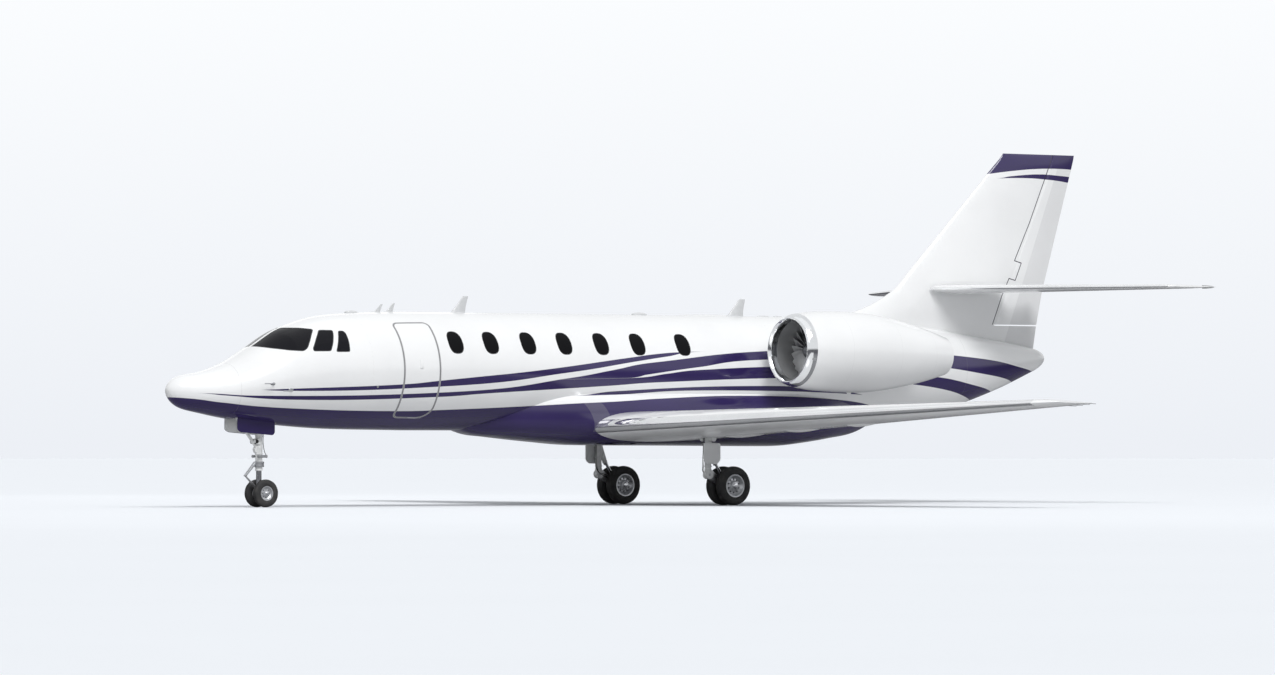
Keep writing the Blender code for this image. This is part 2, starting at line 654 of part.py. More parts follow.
def make_fin(paint):
    fin = fin_blank("vertical_fin", paint)
    hollow = []
    for z in FIN_LEVELS[:-2] + [5.80]:
        front, back, half = fin_at(z)
        thickness = 2 * half / (back - front).length
        hollow.append(hollow_ring(front, back, (0, 1, 0), thickness, (0.05, 0.15, 0.30, 0.50, 0.66)))
    cut(fin, loft("fin_hollow", hollow))
    stations = [12.6, 13.4, 14.2, 15.0, 15.7, 16.4, 17.0, 17.4, 17.8, 18.3, 18.52, 18.6]
    cut(fin, loft("body_top_cutter", body_rings(stations, TOUCH)))
    (low_x, low_z), (high_x, high_z) = RUDDER_HINGE
    # The rudder's round front grows evenly downwards, and everywhere fills the fin's depth.
    depths = []
    for z in np.linspace(low_z, HEIGHT - 0.1, 12):
        front, back, half = fin_at(z)
        chord = (back - front).length
        station = float(np.interp(z, [low_z, high_z], [low_x, high_x]))
        depths.append((z, airfoil_half((x_of(station) - front.x) / chord, 2 * half / chord) * chord * 1.04))
    top_radius = depths[-1][1]
    growth = max((depth - top_radius) / (HEIGHT - z) for z, depth in depths)
    low_radius = top_radius + growth * (high_z - low_z)
    rudder = fin_blank("rudder", paint)
    start = Vector((x_of(high_x), 0, high_z + 0.05))
    end = Vector((x_of(low_x), 0, low_z))
    # The hinge leans, so one lower corner of the turned rudder dips by some 18 mm. Its bay is deeper by 20 mm.
    hinged_surface("rudder", rudder, fin, start, end, (top_radius, low_radius), (0, 1, 0), (0.4, 0.02), level=True)
    pivot = (x_of(STABILISER_PIVOT), STABILISER_Z)
    hole = rod("pivot_hole", (pivot[0], -0.4, pivot[1]), (pivot[0], 0.4, pivot[1]), bearing_radius(PIVOT_RADIUS),
               steps=PIN_SIDES)
    cut(fin, hole)


def stabiliser_at(out):
    inner, outer = STABILISER_ROOT, STABILISER_TIP
    t = (out - inner[0]) / (outer[0] - inner[0])
    front, back = inner[1] + (outer[1] - inner[1]) * t, inner[2] + (outer[2] - inner[2]) * t
    return Vector((x_of(front), out, STABILISER_Z)), Vector((x_of(back), out, STABILISER_Z))


def stabiliser_half(name, side, finish=None):
    rings = []
    for out in (STABILISER_ROOT[0], 4.08, STABILISER_TIP[0]):
        front, back = stabiliser_at(out)
        if out == STABILISER_TIP[0]:
            front = front.lerp(back, 0.12)
        thickness = 0.05 if out == STABILISER_TIP[0] else 0.09
        rings.append(mirrored(airfoil_ring(front, back, (0, 0, 1), thickness), side))
    return loft(name, rings, finish)


def make_stabiliser(paint):
    stabiliser = stabiliser_half("stabiliser", -1, paint)
    join(stabiliser, stabiliser_half("right_half", 1))
    for side in (-1, 1):
        hollow = []
        for out in (STABILISER_ROOT[0] - 0.05, 3.70):
            ring = hollow_ring(*stabiliser_at(out), (0, 0, 1), 0.09, (0.06, 0.15, 0.28, 0.42))
            hollow.append(mirrored(ring, side))
        cut(stabiliser, loft(f"stabiliser_hollow_{side}", hollow))
    pivot = (x_of(STABILISER_PIVOT), STABILISER_Z)
    reach = STABILISER_ROOT[0] + 0.05
    tube = rod("pivot_tube", (pivot[0], -reach, pivot[1]), (pivot[0], reach, pivot[1]), PIVOT_RADIUS, steps=PIN_SIDES)
    join(stabiliser, tube)
    for side, word in ((-1, "left"), (1, "right")):
        inner, outer, part = ELEVATOR
        ends, radii = [], []
        for out in (inner, outer):
            front, back = stabiliser_at(out)
            point = front.lerp(back, part)
            point.y *= side
            ends.append(point)
            radii.append(airfoil_half(part, 0.09) * (back - front).length * 1.05)
        blank = stabiliser_half(f"{word}_elevator", side, paint)
        hinged_surface(f"{word}_elevator", blank, stabiliser, *ends, radii, (0, 0, 1), (0.32, 0.0))
    set_origin(stabiliser, (pivot[0], 0, pivot[1]))


# Engines


def engine_place(side):
    """Turns and moves a piece made along +X into the engine's place."""
    centre = Vector((x_of(ENGINE_STATION), side * ENGINE_Y, ENGINE_Z))
    return Matrix.Translation(centre) @ Matrix.Rotation(ENGINE_DROOP, 4, "Y")


def nacelle_profile(grow=0.0):
    return [(along, radius + grow) for along, radius in NACELLE]


def make_engines(paint, chrome, dark, steel):
    for side, word in ((-1, "left"), (1, "right")):
        place = engine_place(side)
        holder = bpy.data.objects.new(f"{word}_engine_axis", None)
        holder.matrix_world = place
        bpy.context.scene.collection.objects.link(holder)

        inner = [(3.4, 0.315), (3.0, 0.42), (2.5, 0.53), (1.9, 0.63), (1.25, 0.665), (CORE_FRONT + 0.22, DUCT_RADIUS),
                 (0.17 + TOUCH, DUCT_RADIUS)]
        outer = [(0.17 + TOUCH, NACELLE[0][1])] + nacelle_profile()[1:]
        nacelle = turned(f"{word}_nacelle", outer + inner, (0, 0, 0), (1, 0, 0), paint, ENGINE_SIDES, closed=True)
        lip = turned(f"{word}_inlet_lip", LIP, (0, 0, 0), (1, 0, 0), chrome, ENGINE_SIDES, closed=True)
        fan = make_fan(f"{word}_fan", dark, holder)
        seat = DUCT_RADIUS - TOUCH
        core_profile = [(CORE_FRONT, 0), (CORE_FRONT, seat), (CORE_FRONT + 0.16, seat), (CORE_FRONT + 0.18, 0.40),
                        (2.5, 0.38), (3.0, 0.27), (3.30, 0.20), (3.62, 0.03), (3.62, 0)]
        core = turned(f"{word}_engine_core", core_profile, (0, 0, 0), (1, 0, 0), steel, ENGINE_SIDES)
        for piece in (nacelle, lip, fan, core):
            piece.parent = holder
        make_pylon(side, word, place, paint)


def make_fan(name, finish, holder):
    """Spinner, hub and shaft, with a ring of twisted blades joined on."""
    tip = FAN_AT - 0.15
    hub = [(tip, 0), (tip + 0.015, 0.04), (tip + 0.055, 0.10), (FAN_AT - 0.04, 0.145), (FAN_AT + 0.10, 0.16),
           (FAN_AT + 0.10, 0.06), (CORE_FRONT - 2 * TOUCH, 0.06), (CORE_FRONT - 2 * TOUCH, 0)]
    fan = turned(name, hub, (0, 0, 0), (1, 0, 0), finish, 18)
    bm = bmesh.new()
    tip_radius = DUCT_RADIUS * math.cos(math.pi / ENGINE_SIDES) - SWING
    for number in range(FAN_BLADES):
        turn = Matrix.Rotation(math.tau * number / FAN_BLADES, 3, "X")
        rings = []
        for radius, angle, chord in ((0.12, 28, 0.10), (tip_radius, 56, 0.19)):
            a = math.radians(angle)
            along = Vector((math.cos(a), math.sin(a), 0)) * chord / 2
            across = Vector((-math.sin(a), math.cos(a), 0)) * 0.006
            corners = [-along - across, along - across, along + across, -along + across]
            drop = [math.sqrt(radius**2 - c.y**2) for c in corners]
            rings.append([bm.verts.new(turn @ Vector((FAN_AT + c.x * 0.9, c.y, d))) for c, d in zip(corners, drop)])
        bm.faces.new(rings[0])
        bm.faces.new(rings[-1])
        for one, two in zip(rings, rings[1:]):
            for i in range(4):
                bm.faces.new((one[i], one[(i + 1) % 4], two[(i + 1) % 4], two[i]))
    blades = object_from(f"{name}_blades", bm)
    blades.parent = holder
    join(fan, blades)
    return fan


def make_pylon(side, word, place, paint):
    """A short streamlined arm from the body's side to the nacelle."""
    rings = []
    for out, front, back in ((0.70, 12.05, 15.05), (1.40, 12.20, 14.75)):
        z = ENGINE_Z - 0.03
        ring = airfoil_ring((x_of(front), out, z), (x_of(back), out, z - 0.04), (0, 0, 1), 0.085, count=7)
        rings.append(mirrored(ring, side))
    pylon = loft(f"{word}_pylon", rings, paint)
    stations = [11.6, 12.6, 13.4, 14.2, 15.0, 15.7]
    cut(pylon, loft(f"{word}_pylon_body_cutter", body_rings(stations, TOUCH)))
    profile = [(0.10, 0)] + nacelle_profile(TOUCH) + [(3.4, 0)]
    nacelle = turned(f"{word}_pylon_nacelle_cutter", profile, (0, 0, 0), (1, 0, 0), None, ENGINE_SIDES)
    nacelle.matrix_world = place
    cut(pylon, nacelle)


# Landing gear


def nose_well_cutter():
    low, high, half, top = NOSE_WELL
    return box("nose_gear_well", (x_of(low), -half, 1.0), (x_of(high), half, top))


def tyre(name, centre, radius, rim, width, finish):
    """A tyre's section: round shoulders, flat sides and two beads on the rim."""
    half = width / 2
    flat = rim + 0.6 * (radius - rim)
    # The corners lie outside the true circle, so that the flat that it stands on is at its true radius.
    corner = 1 / math.cos(math.pi / WHEEL_SIDES)
    profile = [(-half * 0.72, rim * corner + TOUCH), (-half, flat), (-half * 0.5, radius * corner),
               (half * 0.5, radius * corner), (half, flat), (half * 0.72, rim * corner + TOUCH)]
    return turned(name, profile, centre, (0, 1, 0), finish, WHEEL_SIDES, closed=True)


def twin_wheels(name, centre, offset, rim, width, axle, finish):
    """Two rims on one axle, turned in one piece."""
    face = width * 0.36
    rim /= math.cos(math.pi / WHEEL_SIDES)
    half = []
    for out, radius in ((offset - face, axle), (offset - face, rim), (offset + face, rim),
                        (offset + face * 0.5, rim * 0.72), (offset + face, rim * 0.28), (offset + face, 0)):
        half.append((out, radius))
    profile = [(-out, radius) for out, radius in half[::-1]] + half
    return turned(name, profile, centre, (0, 1, 0), finish, WHEEL_SIDES)


def make_nose_gear(paint, steel, rubber, alloy):
    station, _, radius = NOSE_WHEEL
    x, leg_x = x_of(station), x_of(NOSE_LEG_STATION)
    well_low, _, well_half, well_top = NOSE_WELL
    leg_foot = 0.60
    leg = rod("nose_gear_leg", (leg_x, 0, leg_foot), (leg_x, 0, 1.58), 0.062, paint, 18)
    join(leg, rod("nose_trunnion", (leg_x, -well_half + TOUCH, 1.50), (leg_x, well_half - TOUCH, 1.50), 0.045))
    brace_x, brace_z, pin_y = x_of(well_low) + 0.10, 1.53, well_half - TOUCH
    join(leg, rod("nose_drag_brace", (leg_x, 0, 0.92), (brace_x, 0, brace_z), 0.028, steps=12))
    join(leg, rod("brace_pin", (brace_x, -pin_y, brace_z), (brace_x, pin_y, brace_z), 0.035, steps=12))
    join(leg, box("taxi_light_bracket", (leg_x - 0.115, -0.07, 1.02), (leg_x - 0.04, 0.07, 1.14)))

    fork = rod("nose_gear_fork", (leg_x, 0, radius - 0.02), (leg_x, 0, leg_foot - 2 * TOUCH), 0.045, steel, 18)
    join(fork, rod("fork_head", (x, -0.045, radius), (x, 0.045, radius), 0.05))
    cut(fork, rod("nose_axle_hole", (x, -0.2, radius), (x, 0.2, radius), 0.026))
    collar = turned("steering_collar", [(0, 0.063), (0, 0.088), (0.09, 0.088), (0.09, 0.063)],
                    (leg_x, 0, 0.66), (0, 0, 1), None, 18, closed=True)
    links = [(leg_x - 0.07, 0.735), (leg_x - 0.24, 0.52), (leg_x - 0.035, 0.335), (leg_x - 0.035, 0.285),
             (leg_x - 0.29, 0.50), (leg_x - 0.29, 0.54), (leg_x - 0.08, 0.745)]
    join(fork, collar, prism("torque_links", links, -0.03, 0.03))
    set_origin(fork, (leg_x, 0, 0))

    wheels = twin_wheels("nose_wheels", (x, 0, radius), NOSE_WHEEL_Y, NOSE_RIM, NOSE_TYRE_WIDTH, 0.025, alloy)
    set_origin(wheels, (x, 0, radius))
    for side, word in ((-1, "left"), (1, "right")):
        centre = (x, side * NOSE_WHEEL_Y, radius)
        piece = tyre(f"{word}_nose_tyre", centre, radius, NOSE_RIM, NOSE_TYRE_WIDTH, rubber)
        set_origin(piece, centre)
        y = side * (well_half - TOUCH)
        outline = [(x_of(1.25), 1.47), (x_of(1.25), 1.27), (x_of(1.32), 1.23), (x_of(1.95), 1.18),
                   (x_of(1.99), 1.22), (x_of(1.99), 1.44)]
        prism(f"{word}_nose_gear_door", outline, y, y - side * 0.018, "Y", paint)


def make_main_gear(paint, steel, rubber, alloy):
    station, out, radius = MAIN_WHEEL
    x, leg_x = x_of(station), x_of(MAIN_LEG_STATION)
    well_top = MAIN_WELL[3]
    for side, word in ((-1, "left"), (1, "right")):
        y = side * out
        pivot = (leg_x, y, MAIN_PIVOT_Z)
        leg = rod(f"{word}_main_gear_leg", (leg_x, y, MAIN_PIVOT_Z), (leg_x, y, 1.17), 0.062, paint, 18)
        half = MAIN_WELL[2] - TOUCH
        join(leg, rod(f"{word}_trunnion", (leg_x, y - half, 1.13), (leg_x, y + half, 1.13), 0.05, steps=14))
        join(leg, rod(f"{word}_pivot_boss", (leg_x, y - 0.05, MAIN_PIVOT_Z), (leg_x, y + 0.05, MAIN_PIVOT_Z), 0.075))
        top, foot = (leg_x + 0.03, y, 1.02), (x - 0.10, y, 0.44)
        join(leg, rod(f"{word}_shock_body", top, (leg_x + 0.14, y, 0.72), 0.045, steps=14))
        join(leg, rod(f"{word}_shock_rod", (leg_x + 0.10, y, 0.80), foot, 0.026, steps=12))

        outline = [(leg_x - 0.02, 0.455), (leg_x + 0.10, 0.40), (x - 0.04, radius - 0.055), (x + 0.03, radius - 0.055),
                   (x + 0.06, radius), (x + 0.03, radius + 0.05), (x - 0.08, radius + 0.10), (x - 0.18, 0.46),
                   (leg_x + 0.05, 0.60), (leg_x, 0.60)]
        link = prism(f"{word}_trailing_link", outline, y - 0.04, y + 0.04, "Y", steel)
        cut(link, rod(f"{word}_leg_cutter", pivot, (leg_x, y, 1.0), 0.0625, steps=18))
        cut(link, rod(f"{word}_boss_cutter", (pivot[0], y - 0.1, pivot[2]), (pivot[0], y + 0.1, pivot[2]), 0.0755))
        cut(link, rod(f"{word}_rod_cutter", (leg_x + 0.10, y, 0.80), foot_beyond(foot, leg_x, y), 0.0265, steps=12))
        cut(link, rod(f"{word}_axle_hole", (x, y - 0.2, radius), (x, y + 0.2, radius), 0.031))

        centre = (x, y, radius)
        wheels = twin_wheels(f"{word}_main_wheels", centre, MAIN_WHEEL_Y, MAIN_RIM, MAIN_TYRE_WIDTH, 0.03, alloy)
        set_origin(wheels, centre)
        for offset in (-MAIN_WHEEL_Y, MAIN_WHEEL_Y):
            where = "outer" if (offset > 0) == (side > 0) else "inner"
            middle = (x, y + offset, radius)
            piece = tyre(f"{word}_{where}_main_tyre", middle, radius, MAIN_RIM, MAIN_TYRE_WIDTH, rubber)
            set_origin(piece, middle)
        make_leg_door(side, word, y, leg_x, paint)


def foot_beyond(foot, leg_x, y):
    """The shock's lower end carried on a little, so that its seat in the link is clear of it."""
    start = Vector((leg_x + 0.10, y, 0.80))
    return start + (Vector(foot) - start) * 1.01


def make_leg_door(side, word, y, leg_x, paint):
    """The panel that closes the leg's slot in the wing when the gear is up, carried on the leg."""
    near, far = y + side * 0.105, y + side * 0.125
    outline = [(leg_x - 0.19, 1.06), (leg_x - 0.19, 0.76), (leg_x - 0.12, 0.70), (leg_x + 0.10, 0.70),
               (leg_x + 0.17, 0.76), (leg_x + 0.17, 1.05)]
    door = prism(f"{word}_main_gear_door", outline, near, far, "Y", paint)
    for number, z in enumerate((0.80, 0.98)):
        seat = y + side * (0.062 + TOUCH)
        arm = box(f"{word}_door_arm_{number}", (leg_x - 0.02, min(seat, near + side * 0.01), z - 0.015),
                  (leg_x + 0.02, max(seat, near + side * 0.01), z + 0.015))
        join(door, arm)


# Inside


def inside_solid(name):
    stations = [1.50, 1.72, 1.95, 2.15, 2.38, 2.65, 2.95, COCKPIT_END, 3.95, 4.90, CABIN_END - WALL - TOUCH]
    return loft(name, inner_rings(stations, TOUCH))


def make_seat(rows, name, side, front, facing, inner, outer):
    """A pedestal with a cushion and a raked back, facing forwards (-1) or aft (1), joined to its row."""
    foot = [(0.10, FLOOR_Z + TOUCH), (0.38, FLOOR_Z + TOUCH), (0.40, 1.90), (0.08, 1.90)]
    body = [(0.02, 1.84), (0.42, 1.84), (0.50, 1.90), (0.70, 2.60), (0.68, 2.70), (0.60, 2.70), (0.56, 2.62),
            (0.40, 2.03), (0.02, 2.06), (-0.03, 2.02), (-0.03, 1.90)]
    for part, outline, near, far in (("foot", foot, inner + 0.01, inner + 0.12), ("body", body, inner, outer)):
        placed = [(front - facing * dx, z) for dx, z in outline]
        join(rows, prism(f"{name}_{part}", placed, side * near, side * far))


def make_inside(carpet, leather, plastic):
    floor = box("cabin_floor", (x_of(2.75), -1, FLOOR_Z - 0.045), (x_of(CABIN_END - WALL - TOUCH), 1, FLOOR_Z), carpet)
    boolean(floor, inside_solid("inside_for_floor"), "INTERSECT")

    panel = box("instrument_panel", (x_of(2.20), -1, 1.98), (x_of(2.36), 1, 2.50), plastic)
    join(panel, box("glareshield", (x_of(2.00), -1, 2.44), (x_of(2.40), 1, 2.51)))
    join(panel, box("centre_console", (x_of(2.30), -0.13, FLOOR_Z + 0.25), (x_of(2.95), 0.13, 2.02)))
    boolean(panel, inside_solid("inside_for_panel"), "INTERSECT")

    seats = box("pilot_seats", (x_of(3.00), -0.28, FLOOR_Z + TOUCH), (x_of(3.36), 0.28, FLOOR_Z + 0.03), leather)
    for side in (-1, 1):
        make_seat(seats, f"pilot_seat_{side}", side, x_of(2.94), -1, 0.17, 0.60)

    low, high = x_of(SEAT_STATIONS[0]) - 0.5, x_of(SEAT_STATIONS[-1]) + 0.5
    rows = box("cabin_seats", (low, -0.36, FLOOR_Z + TOUCH), (high, 0.36, FLOOR_Z + 0.03), leather)
    for side in (-1, 1):
        for number, station in enumerate(SEAT_STATIONS):
            facing = 1 if number % 2 == 0 else -1
            make_seat(rows, f"cabin_seat_{side}_{number}", side, x_of(station), facing, 0.24, 0.68)


def main():
    clear_scene()
    paint = material("white paint", (0.90, 0.91, 0.92), 0.18)
    blue = material("dark blue paint", (0.035, 0.02, 0.10), 0.2)
    chrome = material("polished metal", (0.80, 0.81, 0.83), 0.08, 1.0)
    steel = material("gear steel", (0.55, 0.56, 0.58), 0.35, 1.0)
    alloy = material("wheel alloy", (0.70, 0.71, 0.72), 0.35, 0.8)
    dark = material("fan titanium", (0.20, 0.21, 0.23), 0.35, 0.9)
    rubber = material("tyre rubber", (0.025, 0.025, 0.027), 0.8)
    glass = material("dark glass", (0.02, 0.02, 0.025), 0.05, 0.0, 0.6)
    carpet = material("carpet", (0.30, 0.27, 0.24), 0.95)
    leather = material("cream leather", (0.72, 0.66, 0.55), 0.5)
    plastic = material("panel plastic", (0.06, 0.06, 0.065), 0.5)
    make_body(paint, blue, glass)
    make_wings(paint)
    make_fin(paint)
    make_stabiliser(paint)
    make_engines(paint, chrome, dark, steel)
    make_nose_gear(paint, steel, rubber, alloy)
    make_main_gear(paint, steel, rubber, alloy)
    make_inside(carpet, leather, plastic)


main()
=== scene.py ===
import math

import bmesh
import bpy
import numpy as np
from mathutils import Matrix, Vector


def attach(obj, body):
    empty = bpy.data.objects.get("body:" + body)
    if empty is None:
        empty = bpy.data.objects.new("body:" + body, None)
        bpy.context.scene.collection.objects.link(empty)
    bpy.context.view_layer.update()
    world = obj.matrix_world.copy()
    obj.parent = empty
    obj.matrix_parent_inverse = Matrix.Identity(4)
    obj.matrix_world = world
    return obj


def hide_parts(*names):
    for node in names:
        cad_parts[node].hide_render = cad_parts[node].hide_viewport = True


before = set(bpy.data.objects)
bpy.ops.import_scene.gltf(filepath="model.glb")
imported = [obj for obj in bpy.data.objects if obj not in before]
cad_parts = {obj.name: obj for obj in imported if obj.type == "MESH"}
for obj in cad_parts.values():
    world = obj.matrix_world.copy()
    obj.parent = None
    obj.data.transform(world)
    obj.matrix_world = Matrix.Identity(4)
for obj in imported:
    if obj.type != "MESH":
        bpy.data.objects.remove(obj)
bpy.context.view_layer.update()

# A business jet on its landing gear. Metres: nose along -X, port side along -Y, up +Z, floor at z = 0.
# A station is a distance aft of the nose tip, and x = station - half the length.
halfLength = 9.685
sides = ((-1, "left"), (1, "right"))


# Mesh tools


def linked(name, data):
    # A new object in the scene
    made = bpy.data.objects.new(name, data)
    bpy.context.scene.collection.objects.link(made)
    return made


def putMesh(name, points, corners, starts):
    # An object from arrays: points n x 3, the point of each face corner, and each face's first corner
    mesh = bpy.data.meshes.new(name)
    mesh.vertices.add(len(points))
    mesh.vertices.foreach_set("co", np.asarray(points, np.float32).ravel())
    mesh.loops.add(len(corners))
    mesh.loops.foreach_set("vertex_index", corners.astype(np.int32))
    mesh.polygons.add(len(starts))
    mesh.polygons.foreach_set("loop_start", starts.astype(np.int32))
    mesh.update(calc_edges=True)
    return linked(name, mesh)


def meshObject(name, points, faces, sharp=35):
    # Faces are a list of index arrays with 3, 4 or more columns each
    counts = np.concatenate([np.full(len(f), f.shape[1]) for f in faces])
    starts = np.concatenate([[0], np.cumsum(counts)[:-1]])
    piece = putMesh(name, points, np.concatenate([f.ravel() for f in faces]), starts)
    piece.data.validate()
    return tidy(piece, sharp)


def shaded(piece, sharp=35):
    piece.data.shade_smooth()
    piece.data.set_sharp_from_angle(angle=math.radians(sharp))
    return piece


def tidy(piece, sharp=35, merge=0.00002):
    # Merges doubles and turns the faces outwards
    bm = bmesh.new()
    bm.from_mesh(piece.data)
    bmesh.ops.remove_doubles(bm, verts=bm.verts, dist=merge)
    bmesh.ops.recalc_face_normals(bm, faces=bm.faces)
    bm.to_mesh(piece.data)
    bm.free()
    return shaded(piece, sharp)


def read(items, key, size=3, kind=np.float32):
    # One attribute of a mesh's points, corners or faces as an array
    values = np.empty(len(items) * size, kind)
    items.foreach_get(key, values)
    return values.reshape(-1, size) if size > 1 else values


def gridFaces(rows, cols, closeRows, closeCols, offset=0):
    # Quads of a grid of points, optionally joined last row to first and last column to first
    i = np.arange(rows if closeRows else rows - 1)[:, None]
    j = np.arange(cols if closeCols else cols - 1)[None, :]
    a, b = i * cols + j, i * cols + (j + 1) % cols
    c, d = ((i + 1) % rows) * cols + (j + 1) % cols, ((i + 1) % rows) * cols + j
    return np.stack([a, b, c, d], -1).reshape(-1, 4) + offset


def surface(name, grid, closeRows=False, closeCols=True, caps=True, sharp=35):
    # A mesh from a rows x cols x 3 grid of points. Open ends of a closed-column grid get flat caps
    rows, cols = grid.shape[:2]
    faces = [gridFaces(rows, cols, closeRows, closeCols)]
    if caps and closeCols and not closeRows:
        faces += [np.arange(cols)[None, :], (np.arange(cols) + (rows - 1) * cols)[None, :]]
    return meshObject(name, grid.reshape(-1, 3), faces, sharp)


def frameOf(axis):
    # A unit axis and two directions square to it
    axis = np.asarray(axis, float) / np.linalg.norm(axis)
    side = np.array([1.0, 0, 0]) if abs(axis[2]) > 0.7 else np.array([0, 0, 1.0])
    side = side - axis * (side @ axis)
    side /= np.linalg.norm(side)
    return axis, side, np.cross(axis, side)


def revolve(name, profile, centre=(0, 0, 0), axis=(1, 0, 0), steps=64, closed=False, sharp=35):
    # Point = centre + axis * along + radius * (side * cos t + across * sin t), for each (along, radius)
    axis, side, across = frameOf(axis)
    profile = np.asarray(profile, float)
    t = np.arange(steps) * math.tau / steps
    ring = np.cos(t)[:, None] * side + np.sin(t)[:, None] * across
    grid = np.asarray(centre) + profile[:, None, :1] * axis + profile[:, None, 1:] * ring[None]
    return surface(name, grid, closeRows=closed, sharp=sharp)


def alongPath(path, outline, up=(0, 0, 1)):
    # Carries a flat outline along a path: point = path + outline.u * side + outline.v * top
    path, outline = np.asarray(path, float), np.asarray(outline, float)
    ahead = np.gradient(path, axis=0)
    ahead /= np.linalg.norm(ahead, axis=1, keepdims=True)
    side = np.cross(ahead, np.asarray(up, float))
    side /= np.maximum(np.linalg.norm(side, axis=1, keepdims=True), 1e-9)
    top = np.cross(side, ahead)
    if outline.ndim == 2:
        outline = np.repeat(outline[None], len(path), 0)
    return path[:, None] + outline[..., :1] * side[:, None] + outline[..., 1:] * top[:, None]


def circle(radius, steps=16):
    t = np.arange(steps) * math.tau / steps
    return np.stack([radius * np.cos(t), radius * np.sin(t)], -1)


def tube(name, path, radius, steps=16, up=(0, 0, 1)):
    return surface(name, alongPath(path, circle(radius, steps), up))


def bar(name, start, end, radius, steps=24, bevel=0.15):
    # A round bar with chamfered ends
    span = np.subtract(end, start)
    long = np.linalg.norm(span)
    b = min(radius * bevel, long * 0.2)
    profile = [(0, 0), (0, radius - b), (b, radius), (long - b, radius), (long, radius - b), (long, 0)]
    return revolve(name, profile, start, span, steps)


def crossBar(name, x, y, z, half, radius, steps=24, bevel=0.15):
    # A bar across the aircraft, a half length to each side of a point
    return bar(name, (x, y - half, z), (x, y + half, z), radius, steps, bevel)


def cubic(u, at, value, slope):
    # The cubic piece that holds u, from the values and slopes at its two ends
    i = np.clip(np.searchsorted(at, u) - 1, 0, len(at) - 2)
    wide = at[i + 1] - at[i]
    t = (u - at[i]) / wide
    if value.ndim == 2:
        wide, t = wide[:, None], t[:, None]
    return ((1 + 2 * t) * (1 - t) ** 2 * value[i] + t * (1 - t) ** 2 * wide * slope[i]
            + t * t * (3 - 2 * t) * value[i + 1] + t * t * (t - 1) * wide * slope[i + 1])


def smoothPath(points, count=40):
    # A curve through the points, from cubic pieces with averaged slopes
    points = np.asarray(points, float)
    at = np.concatenate([[0], np.cumsum(np.linalg.norm(np.diff(points, axis=0), axis=1))])
    return cubic(np.linspace(0, at[-1], count), at, points, np.gradient(points, at, axis=0))


def roundCorners(outline, radius, steps=5):
    # Replaces each corner of a flat outline by a curve that starts and ends a radius from it
    p = np.asarray(outline, float)

    def near(leg):
        long = np.linalg.norm(leg, axis=1, keepdims=True)
        return p + leg / long * np.minimum(radius, long * 0.45)

    start, end = near(np.roll(p, 1, 0) - p), near(np.roll(p, -1, 0) - p)
    t = np.linspace(0, 1, steps)[None, :, None]
    curve = (1 - t) ** 2 * start[:, None] + 2 * t * (1 - t) * p[:, None] + t * t * end[:, None]
    return curve.reshape(-1, 2)


def plate(name, outline, low, high, direction="Y", sharp=30):
    # A flat outline pulled along one axis. It gives the other two coordinates in X, Y, Z order
    outline = np.asarray(outline, float)
    depth = np.repeat([low, high], len(outline)).reshape(2, -1)
    u, v = np.repeat(outline[None, :, 0], 2, 0), np.repeat(outline[None, :, 1], 2, 0)
    order = {"X": (depth, u, v), "Y": (u, depth, v), "Z": (u, v, depth)}[direction]
    return surface(name, np.stack(order, -1), sharp=sharp)


def block(name, one, other, bevel=0.0):
    # A box between two opposite corners, with bevelled edges
    x, y, z = [sorted(pair) for pair in zip(one, other)]
    outline = [(x[0], y[0]), (x[1], y[0]), (x[1], y[1]), (x[0], y[1])]
    piece = plate(name, outline, z[0], z[1], "Z")
    return bevelled(piece, bevel) if bevel else piece


def blockAt(name, centre, size, bevel=0.0):
    centre, half = np.asarray(centre, float), np.asarray(size, float) / 2
    return block(name, centre - half, centre + half, bevel)


def bevelled(piece, width, segments=3, angle=30):
    step = piece.modifiers.new("bevel", "BEVEL")
    step.width, step.segments, step.limit_method = width, segments, "ANGLE"
    step.angle_limit = math.radians(angle)
    return applied(piece)


def applied(piece, sharp=35):
    # Turns a piece's modifiers into its mesh
    bpy.context.view_layer.update()
    made = bpy.data.meshes.new_from_object(piece.evaluated_get(bpy.context.evaluated_depsgraph_get()))
    piece.modifiers.clear()
    piece.data = made
    return shaded(piece, sharp)


def carve(piece, cutters, operation="DIFFERENCE", sharp=35):
    # Cuts (or keeps the shared part of) a piece with each cutter, which is then removed
    for cutter in cutters:
        step = piece.modifiers.new("carve", "BOOLEAN")
        step.operation, step.object, step.solver = operation, cutter, "EXACT"
    applied(piece, sharp)
    for cutter in cutters:
        bpy.data.objects.remove(cutter, do_unlink=True)
    return piece


def joined(name, pieces):
    # One object from several, keeping their materials
    materials, points, corners, starts, slots = [], [], [], [], []
    pointCount = cornerCount = 0
    for piece in pieces:
        mesh = piece.data
        own = list(mesh.materials) or [None]
        for slot in own:
            if slot not in materials:
                materials.append(slot)
        place = np.array([materials.index(slot) for slot in own])
        world = np.array(piece.matrix_world, float)
        points.append(read(mesh.vertices, "co") @ world[:3, :3].T + world[:3, 3])
        corners.append(read(mesh.loops, "vertex_index", 1, np.int32) + pointCount)
        starts.append(read(mesh.polygons, "loop_start", 1, np.int32) + cornerCount)
        slots.append(place[np.minimum(read(mesh.polygons, "material_index", 1, np.int32), len(own) - 1)])
        pointCount += len(mesh.vertices)
        cornerCount += len(mesh.loops)
    whole = putMesh(name, *[np.concatenate(part) for part in (points, corners, starts)])
    for slot in materials:
        whole.data.materials.append(slot)
    whole.data.polygons.foreach_set("material_index", np.concatenate(slots).astype(np.int32))
    for piece in pieces:
        bpy.data.objects.remove(piece, do_unlink=True)
    return shaded(whole)


